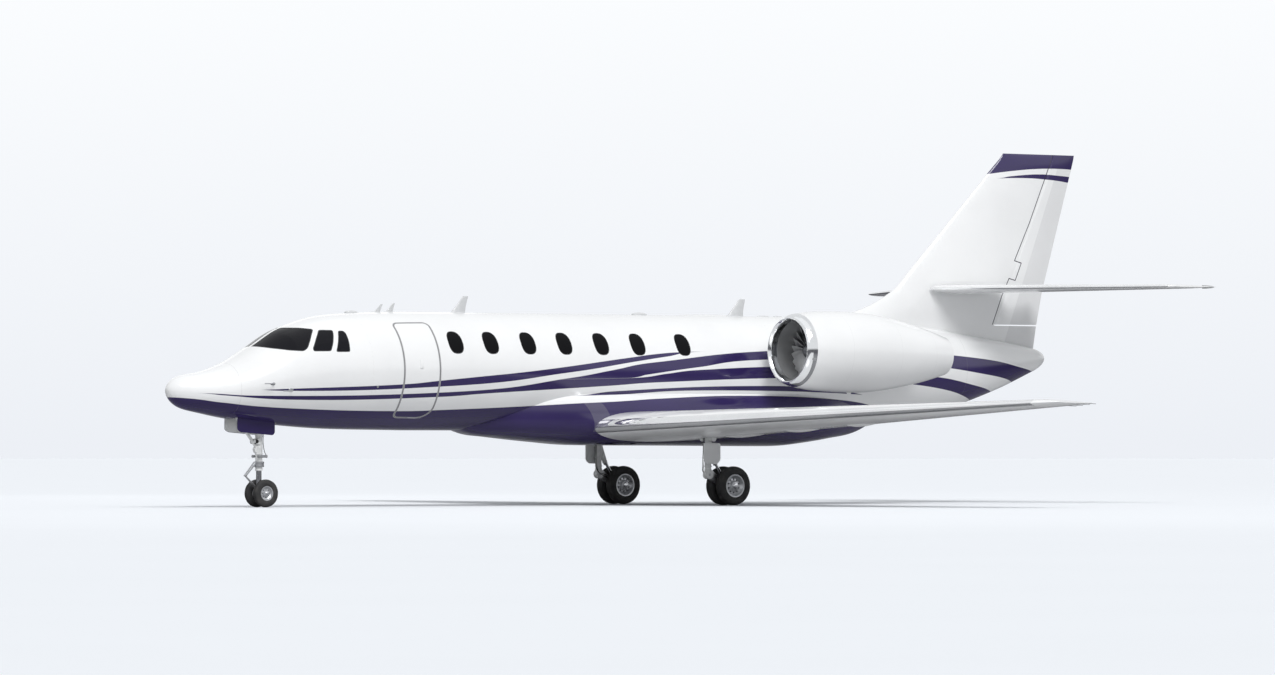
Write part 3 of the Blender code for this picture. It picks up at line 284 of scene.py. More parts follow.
def settle(piece):
    # Moves a piece's place into its mesh
    bpy.context.view_layer.update()
    piece.data.transform(piece.matrix_world)
    piece.matrix_world = Matrix.Identity(4)
    return piece


def coloured(material, *pieces):
    # The pieces as a list, each with the material added to it
    for piece in pieces:
        piece.data.materials.append(material)
    return list(pieces)


def finish(piece, body, material=None, nodes=()):
    # Gives a piece its material, its body and the CAD nodes that it stands for
    settle(piece)
    if material:
        piece.data.materials.clear()
        piece.data.materials.append(material)
    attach(piece, body)
    if nodes:
        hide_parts(*nodes)
    return piece


# Material tools


def feed(socket, value):
    # Gives a socket a number, a colour, a vector or a link
    if isinstance(value, Signal):
        value = value.socket
    if isinstance(value, bpy.types.NodeSocket):
        socket.id_data.links.new(value, socket)
    elif socket.type == "RGBA":
        socket.default_value = (*value, 1.0)
    else:
        socket.default_value = value


def addNode(tree, kind, inputs=None, **values):
    # A node, with its settings and what goes into its sockets
    node = tree.nodes.new(kind)
    for key, value in values.items():
        setattr(node, key, value)
    for key, value in (inputs or {}).items():
        feed(node.inputs[key], value)
    return node


class Signal:
    # A value that changes over the surface. Sums and comparisons of signals become Math nodes
    def __init__(self, socket):
        self.socket = socket

    def math(self, operation, other=None, clamp=False, swap=False):
        values = [self] if other is None else [other, self] if swap else [self, other]
        tree = self.socket.id_data
        node = addNode(tree, "ShaderNodeMath", dict(enumerate(values)), operation=operation, use_clamp=clamp)
        return Signal(node.outputs[0])

    def __add__(self, other):
        return self.math("ADD", other)

    def __sub__(self, other):
        return self.math("SUBTRACT", other)

    def __rsub__(self, other):
        return self.math("SUBTRACT", other, swap=True)

    def __mul__(self, other):
        return self.math("MULTIPLY", other)

    def __abs__(self):
        return self.math("ABSOLUTE")

    def __lt__(self, other):
        return self.math("LESS_THAN", other)

    def __gt__(self, other):
        return self.math("GREATER_THAN", other)

    def least(self, other):
        return self.math("MINIMUM", other)

    def most(self, other):
        return self.math("MAXIMUM", other)

    def held(self, factor=1.0):
        # Times a factor, kept between 0 and 1
        return self.math("MULTIPLY", factor, clamp=True)


def mixColour(tree, mask, low, high):
    node = addNode(tree, "ShaderNodeMix", data_type="RGBA")
    for place, value in (("Factor", mask), ("A", low), ("B", high)):
        feed([s for s in node.inputs if s.name == place and s.enabled][0], value)
    return [s for s in node.outputs if s.enabled][0]


def mapRange(tree, value, **ends):
    # A value carried from one range to another: fromMin, fromMax, toMin, toMax
    names = {"fromMin": "From Min", "fromMax": "From Max", "toMin": "To Min", "toMax": "To Max"}
    inputs = {names[key]: end for key, end in ends.items()}
    return addNode(tree, "ShaderNodeMapRange", {"Value": value, **inputs}).outputs[0]


def splitObject(tree):
    # The place on the object, and its x, y and z as signals
    place = addNode(tree, "ShaderNodeTexCoord").outputs["Object"]
    split = addNode(tree, "ShaderNodeSeparateXYZ", {0: place})
    return place, [Signal(socket) for socket in split.outputs]


def newGroup(name, inputs, outputs):
    # A node group with float and vector inputs and float outputs
    group = bpy.data.node_groups.new(name, "ShaderNodeTree")
    for label, value in inputs.items():
        kind = "NodeSocketVector" if value is None else "NodeSocketFloat"
        socket = group.interface.new_socket(label, in_out="INPUT", socket_type=kind)
        if value is not None:
            socket.default_value = value
    for label in outputs:
        group.interface.new_socket(label, in_out="OUTPUT", socket_type="NodeSocketFloat")
    given = addNode(group, "NodeGroupInput").outputs
    return group, [Signal(given[label]) for label in inputs], addNode(group, "NodeGroupOutput").inputs


def useGroup(tree, group, **values):
    # A group placed in a tree, with its inputs filled, and its outputs as signals
    node = addNode(tree, "ShaderNodeGroup", node_tree=group)
    for label, value in values.items():
        feed(node.inputs[label], value)
    return [Signal(socket) for socket in node.outputs]


def wearGroup():
    # Fine dust and handling marks: broad soft noise with fine speckle, as a mask and a height
    group, (place, scale, amount), out = newGroup("fineWear", {"Position": None, "Scale": 1.0, "Amount": 0.2},
                                                  ("Mask", "Height"))
    scaled = addNode(group, "ShaderNodeVectorMath", {0: place, "Scale": scale}, operation="SCALE").outputs[0]
    broad, fine = [addNode(group, "ShaderNodeTexNoise", {"Vector": scaled, "Scale": size, "Detail": detail})
                   for size, detail in ((1.3, 4), (90, 3))]
    patchy = {"Value": broad.outputs["Fac"], "From Min": 0.35, "From Max": 0.75}
    spread = addNode(group, "ShaderNodeMapRange", patchy, interpolation_type="SMOOTHSTEP")
    feed(out["Mask"], Signal(spread.outputs[0]) * Signal(fine.outputs["Fac"]) * amount)
    feed(out["Height"], fine.outputs["Fac"])
    return group


fineWear = wearGroup()


def bumped(tree, shader, height, strength, distance):
    bump = addNode(tree, "ShaderNodeBump", {"Strength": strength, "Distance": distance, "Height": height})
    feed(shader.inputs["Normal"], bump.outputs[0])


def wornMaterial(name, scale):
    # A new material, and what most finishes start from: place, axes, and the wear's mask and height
    made = bpy.data.materials.new(name)
    made.use_nodes = True
    tree = made.node_tree
    place, axes = splitObject(tree)
    worn = useGroup(tree, fineWear, Position=place, Scale=scale, Amount=1.0) if scale else (None, None)
    return made, tree, tree.nodes["Principled BSDF"], place, axes, *worn


def fill(shader, values):
    for label, value in values.items():
        feed(shader.inputs[label], value)


def toned(colour, factor):
    return tuple(c * factor for c in colour)


def plainMaterial(name, colour, roughness, metallic=0.0, wear=0.25, wearColour=None, scale=6.0, bump=0.05,
                  coat=0.0, spread=0.12):
    # A finish with slow changes of tone and roughness and a fine grain
    made, tree, shader, _, _, mask, height = wornMaterial(name, scale)
    fill(shader, {"Base Color": mixColour(tree, mask, colour, wearColour or toned(colour, 1 - wear)),
                  "Roughness": mapRange(tree, mask, toMin=roughness, toMax=roughness + spread),
                  "Metallic": metallic, "Coat Weight": coat})
    bumped(tree, shader, height, bump, 0.0004)
    return made


# Paint scheme, as (station, height) lines on the body's side

stripes = {
    "belly": [(0, 1.8), (0.4, 1.765), (0.81, 1.713), (1.93, 1.626), (4.19, 1.581), (4.92, 1.601),
              (6.66, 1.671), (7.53, 1.717), (8.43, 1.757), (9.32, 1.808), (11.16, 1.863), (12.96, 1.823),
              (14.6, 1.6), (15.4, 1.4), (18.7, 1)],
    "oneTop": [(0, 1.91), (1.34, 1.92), (1.8, 1.935), (4.03, 2.021), (4.75, 2.084), (5.63, 2.162),
               (6.52, 2.242), (8.81, 2.509), (9.28, 2.562), (9.75, 2.595), (10.32, 2.612), (18.7, 2.612)],
    "oneLow": [(0, 1.94), (1.34, 1.925), (1.8, 1.905), (4.73, 1.984), (7.42, 2.238), (8.8, 2.428),
               (9.5, 2.52), (10.32, 2.612), (18.7, 2.66)],
    "twoTop": [(0, 1.85), (0.417, 1.862), (1.34, 1.826), (4.79, 1.889), (7.42, 2.145), (8.33, 2.285),
               (9.25, 2.424), (13.2, 2.67), (14.8, 2.645), (16.69, 2.551), (17.85, 2.395), (18.7, 2.25)],
    "twoLow": [(0, 1.87), (0.417, 1.861), (0.85, 1.825), (2.05, 1.76), (4.81, 1.817), (5.68, 1.873),
               (8.35, 2.023), (9.25, 2.079), (13.3, 2.17), (14.5, 2.11), (15.61, 2.022), (16.6, 1.85),
               (18.7, 1.2)],
    "gapTop": [(0, 2.14), (8.6, 2.149), (9.01, 2.205), (10.17, 2.346), (11.59, 2.481), (13, 2.5),
               (14.6, 2.45), (16.99, 2.256), (17.8, 2.13), (18.7, 1.9)],
    "gapLow": [(0, 2.16), (8.6, 2.149), (9.47, 2.23), (10.17, 2.298), (13, 2.37), (15.75, 2.199),
               (16.13, 2.154), (16.42, 2.108), (17.1, 2), (18.7, 1.6)],
    "threeTop": [(0, 1.84), (7.5, 1.847), (8.37, 1.926), (11.78, 2.033), (12.6, 2.012), (13.2, 1.965),
                 (13.6, 1.925), (13.9, 1.88), (18.7, 1.2)],
    "threeLow": [(0, 1.86), (7.5, 1.847), (8.39, 1.868), (10.21, 1.947), (13.6, 1.9), (18.7, 1.25)],
}
finStripes = {
    "capLow": [(17.0, 5.76), (17.30, 5.817), (17.69, 5.87), (18.03, 5.906), (18.38, 5.935), (18.72, 5.95),
               (18.96, 5.954), (19.26, 5.947), (19.6, 5.93)],
    "thinTop": [(17.0, 5.73), (17.507, 5.751), (17.80, 5.792), (18.03, 5.816), (18.26, 5.834), (18.49, 5.845),
                (18.63, 5.846), (18.89, 5.836), (19.21, 5.819), (19.6, 5.79)],
    "thinLow": [(17.0, 5.76), (17.507, 5.751), (17.80, 5.762), (18.03, 5.767), (18.26, 5.769), (18.49, 5.763),
                (18.63, 5.756), (18.86, 5.745), (19.18, 5.714), (19.6, 5.66)],
}
paint = {
    "white": (0.835, 0.84, 0.845), "navy": (0.026, 0.016, 0.085), "roughness": 0.16,
    "seam": (0.18, 0.18, 0.19), "seamShare": 0.45, "metal": ((0.90, 0.903, 0.91), (0.76, 0.765, 0.775)),
    "metalOut": 9.33,
}


def chained(signals, way):
    # Signals taken two at a time: with Signal.most the result is the greatest of them
    first, *others = signals
    for other in others:
        first = way(first, other)
    return first


def heightLine(tree, x, line, span):
    # The height at x of a line of (station, height) points
    low, high = span
    bottom, top = [end(z for _, z in line) for end in (min, max)]
    curve = addNode(tree, "ShaderNodeFloatCurve", {"Value": (x + (halfLength - low)) * (1 / (high - low))})
    track = curve.mapping.curves[0]
    places = [((s - low) / (high - low), (z - bottom) / max(top - bottom, 1e-6)) for s, z in line]
    track.points[0].location, track.points[1].location = places[0], places[-1]
    for place in places[1:-1]:
        track.points.new(*place)
    curve.mapping.update()
    return Signal(curve.outputs[0]) * (top - bottom) + bottom


def bandGroup(name, lines, span, inside):
    # Dark bands as a mask, from how far inside them a height is
    group, (x, z), out = newGroup(name, {"X": 0.0, "Z": 0.0}, ("Mask",))
    line = {key: heightLine(group, x, points, span) for key, points in lines.items()}

    def band(key):
        # The lesser of top - z and z - low
        return (line[key + "Top"] - z).least(z - line[key + "Low"])

    feed(out["Mask"], mapRange(group, inside(z, line, band), fromMin=-0.001, fromMax=0.002))
    return group


def insideStripes(z, line, band):
    # Under the belly line, or in one of three bands, the second of which has a gap
    two = band("two").least(band("gap") * -1.0)
    return chained([line["belly"] - z, band("one"), two, band("three")], Signal.most)


def insideFinBands(z, line, band):
    # Above the cap line, or in the thin band under it
    return (z - line["capLow"]).most(band("thin"))


bodyStripes = bandGroup("bodyStripes", stripes, (0, 18.7), insideStripes)
finBands = bandGroup("finStripes", finStripes, (17.0, 19.6), insideFinBands)


def paintMaterial(name, group=None, seams=(), metalEdge=None, overlay=None, tone=(0.36, 0.36, 0.37)):
    # Glossy enamel in white and dark blue. Seams are (station, half width) lines round the body. A metal edge
    # is (a, b, wide): bright metal where x is less than a + wide + b * |y|
    made, tree, shader, _, axes, mask, height = wornMaterial(name, 0.8)
    x, y, z = axes
    colour = mixColour(tree, mask, paint["white"], toned(paint["white"], 0.93))
    if group:
        navy = mixColour(tree, mask, paint["navy"], toned(paint["navy"], 1.25))
        colour = mixColour(tree, useGroup(tree, group, X=x, Z=z)[0], colour, navy)
    if seams:
        near = [abs(x - (station - halfLength)) < wide for station, wide in seams]
        colour = mixColour(tree, chained(near, Signal.most) * paint["seamShare"], colour, paint["seam"])
    if overlay:
        colour = mixColour(tree, overlay(tree, axes), colour, tone)
    rough = Signal(mapRange(tree, mask, toMin=paint["roughness"], toMax=paint["roughness"] + 0.10))
    if metalEdge:
        start, slope, wide = metalEdge
        bright = (abs(y) * slope + (start + wide) - x).held(400.0) * (abs(y) < paint["metalOut"])
        colour = mixColour(tree, bright, colour, mixColour(tree, mask, *paint["metal"]))
        feed(shader.inputs["Metallic"], bright * 0.97)
        rough = rough * (1.0 - bright * 0.8)
    fill(shader, {"Base Color": colour, "Roughness": rough, "Coat Weight": 0.4, "Coat Roughness": 0.03})
    bumped(tree, shader, height, 0.04, 0.0003)
    return made


def segmentGroup():
    # Distance from a point to a segment: |p - a - d * clamp((p - a) . d / d . d)|
    inputs = {"Point": None, "Start": None, "Span": None}
    group, (point, start, span), out = newGroup("segmentDistance", inputs, ("Distance",))

    def vector(operation, a, b, result="Vector"):
        other = "Scale" if operation == "SCALE" else 1
        made = addNode(group, "ShaderNodeVectorMath", {0: a, other: b}, operation=operation)
        return Signal(made.outputs[result])

    away = vector("SUBTRACT", point, start)
    size = vector("DOT_PRODUCT", span, span, "Value")
    share = vector("DOT_PRODUCT", away, span, "Value").math("DIVIDE", size, clamp=True)
    feed(out["Distance"], vector("DISTANCE", away, vector("SCALE", span, share), "Value"))
    return group


segmentDistance = segmentGroup()
rudderLine = {
    "points": [(18.835, 6.20), (18.633, 5.763), (18.263, 4.971), (17.906, 4.296), (18.074, 4.255),
               (17.929, 3.945), (17.775, 3.978), (17.716, 3.868), (17.60, 3.66), (17.395, 3.16)],
    # The band and its tone are a painted shade over the rudder's aft part
    "half": 0.0095, "band": (18.10, 3.876, 0.406), "paintedShadeTone": 0.12,
}


def finSeamAndPaintedShade(tree, axes):
    # The dark line at the rudder's front, 1 near its points, and a painted shade at a lower tone over the
    # trailing band, where the rudder's aft surface is turned from the light
    x, y, z = axes
    flat = addNode(tree, "ShaderNodeCombineXYZ", {0: x, 2: z}).outputs[0]
    points = [(station - halfLength, 0.0, height) for station, height in rudderLine["points"]]
    away = [useGroup(tree, segmentDistance, Point=flat, Start=start, Span=tuple(np.subtract(end, start)))[0]
            for start, end in zip(points, points[1:])]
    line = (rudderLine["half"] - chained(away, Signal.least)).held(400.0)
    # Painted shade: aft of this slanting line the colour is darkened to stand in for the rudder's aft surface
    # turned from the light
    station, height, slope = rudderLine["band"]
    band = (x - ((z - height) * slope + (station - halfLength))).held(300.0)
    return line.most(band * rudderLine["paintedShadeTone"])


bodyPaint = paintMaterial("white enamel with blue stripes", bodyStripes, [(1.10, 0.0016), (16.40, 0.0016)])
# The fin's enamel carries the seam line and a painted shade over the rudder's aft part
finPaint = paintMaterial("fin enamel with painted rudder shade", finBands, overlay=finSeamAndPaintedShade, tone=(0.03, 0.025, 0.05))
plainPaint = paintMaterial("white enamel")
wingPaint = paintMaterial("wing enamel with bright edge", metalEdge=(7.60 - halfLength, 0.30182, 0.13))
brightEdge = (15.783 - halfLength, 0.52304, 0.035)
tailPaint = paintMaterial("tailplane enamel with bright edge", metalEdge=brightEdge)
chrome = plainMaterial("polished lip", (0.86, 0.87, 0.88), 0.07, 1.0, 0.12, scale=2.0, bump=0.02, spread=0.10)
steel = plainMaterial("gear steel", (0.56, 0.57, 0.59), 0.28, 0.9, scale=8.0)
strut = plainMaterial("strut chrome", (0.82, 0.83, 0.85), 0.08, 1.0, 0.08, scale=4.0, bump=0.01)
gearPaint = plainMaterial("gear white enamel", (0.80, 0.81, 0.81), 0.28, 0.0, 0.18, scale=7.0, coat=0.3)
alloy = plainMaterial("wheel alloy", (0.66, 0.67, 0.69), 0.32, 0.85, 0.3, scale=9.0)
dark = plainMaterial("dark fan metal", (0.16, 0.165, 0.175), 0.30, 0.9, 0.2, scale=5.0)
bladeMetal = plainMaterial("swept blade metal", (0.80, 0.805, 0.815), 0.30, 0.45)
ductGrey = plainMaterial("duct lining", (0.24, 0.243, 0.248), 0.42, 0.0, 0.2, scale=5.0)
hotMetal = plainMaterial("heat stained metal", (0.33, 0.29, 0.26), 0.36, 0.95, 0.3, (0.20, 0.19, 0.24), 3.0)
antennaGrey = plainMaterial("pale grey antenna enamel", (0.60, 0.61, 0.62), 0.38, wear=0.15, scale=9.0,
                            coat=0.2)
seal = plainMaterial("dark rubber seal", (0.035, 0.036, 0.038), 0.62, wear=0.3, scale=12.0)
greyTrim = plainMaterial("satin grey trim", (0.42, 0.43, 0.44), 0.35, 0.5, 0.15)
blackPlastic = plainMaterial("black plastic", (0.02, 0.02, 0.022), 0.42, wear=0.3, scale=14.0)
liner = plainMaterial("cream liner", (0.70, 0.66, 0.58), 0.65, wear=0.10, scale=10.0, bump=0.1)
hose = plainMaterial("black hose", (0.03, 0.03, 0.032), 0.5, wear=0.2, scale=20.0)
wood = plainMaterial("dark wood veneer", (0.16, 0.075, 0.035), 0.25, wear=0.4, scale=3.0, coat=0.5)
screenGlass = plainMaterial("dark screen", (0.012, 0.014, 0.018), 0.10, wear=0.2, scale=4.0, bump=0.0,
                            coat=0.6)


def glassMaterial(name, tint, through, roughness=0.03):
    # Tinted glass: part of the light passes, the rest is held by the tint
    made, tree, shader, _, _, mask, _ = wornMaterial(name, 1.5)
    fill(shader, {"Base Color": mixColour(tree, mask, tint, toned(tint, 1.3)), "Transmission Weight": through,
                  "Roughness": mapRange(tree, mask, toMin=roughness, toMax=roughness + 0.04), "IOR": 1.2})
    return made


def tyreMaterial():
    # Rubber with a dusty side wall and a worn tread
    made, tree, shader, _, _, mask, height = wornMaterial("tyre rubber", 7.0)
    colour = mixColour(tree, mask, (0.022, 0.022, 0.023), (0.065, 0.062, 0.058))
    fill(shader, {"Base Color": colour, "Roughness": 0.72})
    bumped(tree, shader, height, 0.25, 0.0008)
    return made


def weaveGroup():
    # Crossed threads: the greater of two rows of ridges, broken up by noise
    group, (place, pitch), out = newGroup("weave", {"Position": None, "Pitch": 300.0}, ("Height", "Tone"))
    split = addNode(group, "ShaderNodeSeparateXYZ", {0: place}).outputs
    rows = [(Signal(split[i]) * pitch).math("SINE") for i in (0, 1)]
    noise = addNode(group, "ShaderNodeTexNoise", {"Scale": 30, "Vector": place}).outputs["Fac"]
    feed(out["Height"], rows[0].most(rows[1]) * noise)
    feed(out["Tone"], noise)
    return group


weave = weaveGroup()


def carpetMaterial(name, colour, other):
    made, tree, shader, place, *_ = wornMaterial(name, None)
    height, tone = useGroup(tree, weave, Position=place, Pitch=900.0)
    fill(shader, {"Base Color": mixColour(tree, tone, colour, other), "Roughness": 0.95, "Sheen Weight": 0.3})
    bumped(tree, shader, height, 0.5, 0.001)
    return made


def leatherMaterial(name, colour):
    # Small cells pressed into a slightly mottled hide
    made, tree, shader, place, _, mask, _ = wornMaterial(name, 5.0)
    cells = addNode(tree, "ShaderNodeTexVoronoi", {"Scale": 220, "Vector": place}, feature="DISTANCE_TO_EDGE")
    fill(shader, {"Base Color": mixColour(tree, mask, colour, toned(colour, 0.78)), "Roughness": 0.48})
    bumped(tree, shader, cells.outputs["Distance"], 0.35, 0.001)
    return made


def lampMaterial(name, colour, strength):
    # A lens with a faint cell pattern, lit from behind
    made, tree, shader, place, *_ = wornMaterial(name, None)
    cells = addNode(tree, "ShaderNodeTexVoronoi", {"Scale": 120, "Vector": place}).outputs["Distance"]
    fill(shader, {"Base Color": mixColour(tree, cells, colour, toned(colour, 0.6)), "Roughness": 0.12,
                  "Emission Color": colour, "Emission Strength": strength})
    return made


cockpitGlass = glassMaterial("cockpit glass", (0.010, 0.010, 0.013), 0.12)
cabinGlass = glassMaterial("cabin glass", (0.002, 0.002, 0.003), 0.08)
rubber = tyreMaterial()
carpet = carpetMaterial("carpet", (0.20, 0.18, 0.155), (0.30, 0.27, 0.235))
leather = leatherMaterial("cream leather", (0.62, 0.55, 0.44))
darkLeather = leatherMaterial("dark leather", (0.07, 0.065, 0.06))
redLamp = lampMaterial("red lens", (0.55, 0.02, 0.02), 0.15)
greenLamp = lampMaterial("green lens", (0.02, 0.40, 0.12), 0.15)
clearLamp = lampMaterial("clear lens", (0.80, 0.82, 0.84), 0.1)
print("materials made")


# Body shape, as (station, value) lines

body = {
    "roof": [(0, 1.915), (0.22, 2.14), (0.69, 2.23), (1.16, 2.39), (1.63, 2.64), (2.10, 2.91), (2.34, 2.99),
             (2.82, 3.13), (3.30, 3.19), (4.00, 3.225), (4.75, 3.24), (12.6, 3.24), (13.4, 3.235),
             (14.2, 3.22), (15.0, 3.18), (16.0, 3.08), (17.0, 2.95), (17.8, 2.84), (18.6, 2.70)],
    "keel": [(0, 1.915), (0.22, 1.64), (0.69, 1.53), (1.16, 1.45), (2.10, 1.35), (3.06, 1.29), (4.27, 1.27),
             (4.75, 1.265), (12.6, 1.265), (13.4, 1.285), (14.2, 1.35), (15.0, 1.46), (16.4, 1.68),
             (17.4, 1.97), (18.3, 2.31), (18.6, 2.43)],
    "side": [(0, 0), (0.22, 0.25), (0.69, 0.42), (1.16, 0.56), (1.63, 0.68), (2.10, 0.765), (2.82, 0.865),
             (3.40, 0.925), (4.00, 0.965), (4.75, 0.9875), (12.6, 0.9875), (13.4, 0.95), (14.2, 0.89),
             (15.0, 0.80), (16.0, 0.65), (17.0, 0.48), (17.8, 0.345), (18.6, 0.15)],
    "noseEnd": 1.10, "cockpitEnd": 3.45, "cabinEnd": 11.90, "aftEnd": 16.40, "end": 18.60,
    "wall": 0.14, "aftWall": 0.03, "gap": 0.0003, "steps": 144,
}


def curveThrough(points):
    # Cubic pieces in the root of the station, each slope held between those of its neighbours
    at = np.sqrt([p[0] for p in points])
    value = np.array([p[1] for p in points], float)
    rise = np.diff(value) / np.diff(at)
    slope = np.concatenate([rise[:1], np.where(rise[1:] * rise[:-1] > 0, (rise[1:] + rise[:-1]) / 2, 0),
                            rise[-1:]])
    limit = 3 * np.minimum(np.abs(np.append(rise, rise[-1])), np.abs(np.insert(rise, 0, rise[0])))
    slope = np.clip(slope, -limit, limit)

    def curve(station):
        return cubic(np.clip(np.sqrt(np.maximum(station, 0)), at[0], at[-1]), at, value, slope)

    return curve


roofAt, keelAt, sideAt = [curveThrough(body[key]) for key in ("roof", "keel", "side")]


def bodyGrid(stations, grow=0.0, floor=None):
    # Each row: y = wide * cos a, z = middle + tall * sin a
    stations = np.asarray(stations, float)
    top, bottom = roofAt(stations) + grow, keelAt(stations) - grow
    if floor is not None:
        bottom = np.maximum(bottom, floor)
    wide = np.maximum(sideAt(stations) + grow, 0)
    a = (np.arange(body["steps"]) + 0.5) * math.tau / body["steps"]
    x = np.repeat((stations - halfLength)[:, None], len(a), 1)
    z = ((top + bottom) / 2)[:, None] + ((top - bottom) / 2)[:, None] * np.sin(a)
    return np.stack([x, wide[:, None] * np.cos(a), z], -1)


def bodyDepth(points):
    # Distance inside the body's skin and the outward normal there,
    # from F = (y / wide)^2 + ((z - middle) / tall)^2 - 1
    def value(x, y, z):
        station = x + halfLength
        top, bottom, wide = roofAt(station), keelAt(station), np.maximum(sideAt(station), 1e-5)
        return (y / wide) ** 2 + ((z - (top + bottom) / 2) / np.maximum((top - bottom) / 2, 1e-5)) ** 2 - 1

    place = np.asarray(points, float).T
    steps = np.eye(3)[:, :, None] * 0.0005
    slope = np.stack([value(*(place + step)) - value(*(place - step)) for step in steps], -1) / 0.001
    size = np.maximum(np.linalg.norm(slope, axis=1), 1e-9)
    return -value(*place) / size, slope / size[:, None]


def skinNormals(piece, reach=0.0012):
    # Where a face lies on the body's skin, its corners get the skin's true normal: openings leave no creases
    mesh = piece.data
    index = read(mesh.loops, "vertex_index", 1, np.int32)
    depth, normal = bodyDepth(read(mesh.vertices, "co"))
    face = np.repeat(read(mesh.polygons, "normal"), read(mesh.polygons, "loop_total", 1, np.int32), 0)
    onSkin = (np.abs(depth[index]) < reach) & ((face * normal[index]).sum(1) > 0.8)
    corner = np.where(onSkin[:, None], normal[index], read(mesh.corner_normals, "vector"))
    mesh.normals_split_custom_set(corner.astype(np.float32))
    return piece


def paintInside(piece, outer, depth=0.004):
    # Faces deeper than a little under the skin get the liner, after a dark rim round each opening
    mesh = piece.data
    centre = read(mesh.polygons, "center")
    under, _ = bodyDepth(centre)
    mesh.materials.clear()
    for material in (outer, liner, seal):
        mesh.materials.append(material)
    rim = (under > depth) & (under < body["wall"] * 0.8) & (np.abs(centre[:, 1]) > 0.02)
    mesh.polygons.foreach_set("material_index", ((under > depth).astype(np.int32) + rim).astype(np.int32))
    return piece


def innerFloor(station):
    return np.interp(station, [2.30, 2.95], [1.75, 1.265 + body["wall"]])


def row(low, high, spacing):
    return np.linspace(low, high, max(2, int(round((high - low) / spacing)) + 1))


def bodyBlock(name, low, high, spacing):
    # The whole body between two stations, a hair larger, to cut what sits on it
    return surface(name, bodyGrid(row(low, high, spacing), body["gap"]))


def onBody(points):
    # (station, height) points as x and z
    return np.array(points, float) - (halfLength, 0)


def oval(centre, wide, tall, steps=48, power=2.6):
    # |u / a|^power + |v / b|^power = 1
    t = np.arange(steps) * math.tau / steps
    c, s = np.cos(t), np.sin(t)
    return np.stack([centre[0] + wide / 2 * np.sign(c) * np.abs(c) ** (2 / power),
                     centre[1] + tall / 2 * np.sign(s) * np.abs(s) ** (2 / power)], -1)


def turning(outline):
    # 1 or -1, as an outline runs, from the area inside it
    p = np.asarray(outline, float)
    return np.sign(np.sum(p[:, 0] * np.roll(p[:, 1], -1) - p[:, 1] * np.roll(p[:, 0], -1)))


def drawnIn(points, by):
    # Moves every side of a sharp-cornered outline inwards: corner - by * (n1 + n2) / (1 + n1 . n2)
    p = np.asarray(points, float)
    legs = p - np.roll(p, 1, 0), np.roll(p, -1, 0) - p
    n1, n2 = [np.stack([d[:, 1], -d[:, 0]], -1) / np.linalg.norm(d, axis=1, keepdims=True) for d in legs]
    return p - turning(p) * by * (n1 + n2) / (1 + (n1 * n2).sum(1, keepdims=True))


def shrunk(outline, by):
    # Moves each point of a rounded outline inwards along its normal
    ahead = np.roll(outline, -1, 0) - np.roll(outline, 1, 0)
    across = np.stack([ahead[:, 1], -ahead[:, 0]], -1)
    across /= np.maximum(np.linalg.norm(ahead, axis=1, keepdims=True), 1e-9)
    return outline - across * by * turning(outline)


# Nose cone and cockpit

cockpit = {
    "panes": {
        "Windscreen": ([(1.35, 2.70), (1.765, 2.601), (2.0, 2.566), (2.228, 2.554), (2.31, 2.60),
                        (2.476, 2.821), (2.569, 2.924), (2.383, 2.947), (2.15, 2.95), (1.70, 3.05)], 0.035,
                       "windscreen"),
        "FrontSideWindow": ([(2.40, 2.553), (2.702, 2.557), (2.782, 2.697), (2.85, 2.848), (2.868, 2.91),
                             (2.637, 2.912), (2.516, 2.77), (2.395, 2.60)], 0.30, "front_side_window"),
        "RearSideWindow": ([(2.787, 2.545), (3.045, 2.548), (3.072, 2.72), (3.075, 2.863), (3.045, 2.90),
                            (2.953, 2.90), (2.86, 2.698)], 0.30, "rear_side_window"),
    },
    "glassDepths": (0.003, 0.025), "seal": 0.011, "sealDepths": (0.0012, 0.020), "corner": 0.035,
    "well": (1.22, 2.02, 0.19, 1.63),
}

noseEnd, cockpitEnd, cabinEnd, aftEnd = [body[key] for key in ("noseEnd", "cockpitEnd", "cabinEnd", "aftEnd")]
wall, gap = body["wall"], body["gap"]
noseCone = surface("noseCone", bodyGrid(np.linspace(0, math.sqrt(noseEnd - gap), 64) ** 2))
finish(skinNormals(noseCone), "airframe", bodyPaint, ["nose_cone"])


def skinLayer(name, rows, near, far):
    # A thin sheet that follows the skin, between two depths under it
    return surface(name, np.concatenate([bodyGrid(rows, -near), bodyGrid(rows, -far)[::-1]]), closeRows=True)


def paneCutter(points, side, inboard, by=0.0, reach=1.08):
    # A pane's outline, drawn in and pulled through one side of the body
    shape = roundCorners(onBody(drawnIn(points, by) if by else points), cockpit["corner"], 7)
    return plate("paneCutter", shape, side * (inboard + by), side * reach)


shellInner = np.append(row(1.50, 3.40, 0.08), cockpitEnd - gap)
shellRows = [bodyGrid(np.append(row(noseEnd, 3.42, 0.04), cockpitEnd - gap)),
             bodyGrid(shellInner, -wall, innerFloor(shellInner))[::-1]]
cockpitShell = surface("cockpitShell", np.concatenate(shellRows))
openings = [paneCutter(points, side, inboard, reach=1.1)
            for side in (-1, 1) for points, inboard, node in cockpit["panes"].values()]
low, high, half, top = cockpit["well"]
openings.append(block("wellCutter", (low - halfLength, -half, 1.0), (high - halfLength, half, top)))
carve(cockpitShell, openings)
finish(skinNormals(paintInside(cockpitShell, bodyPaint)), "airframe", nodes=["forward_fuselage"])

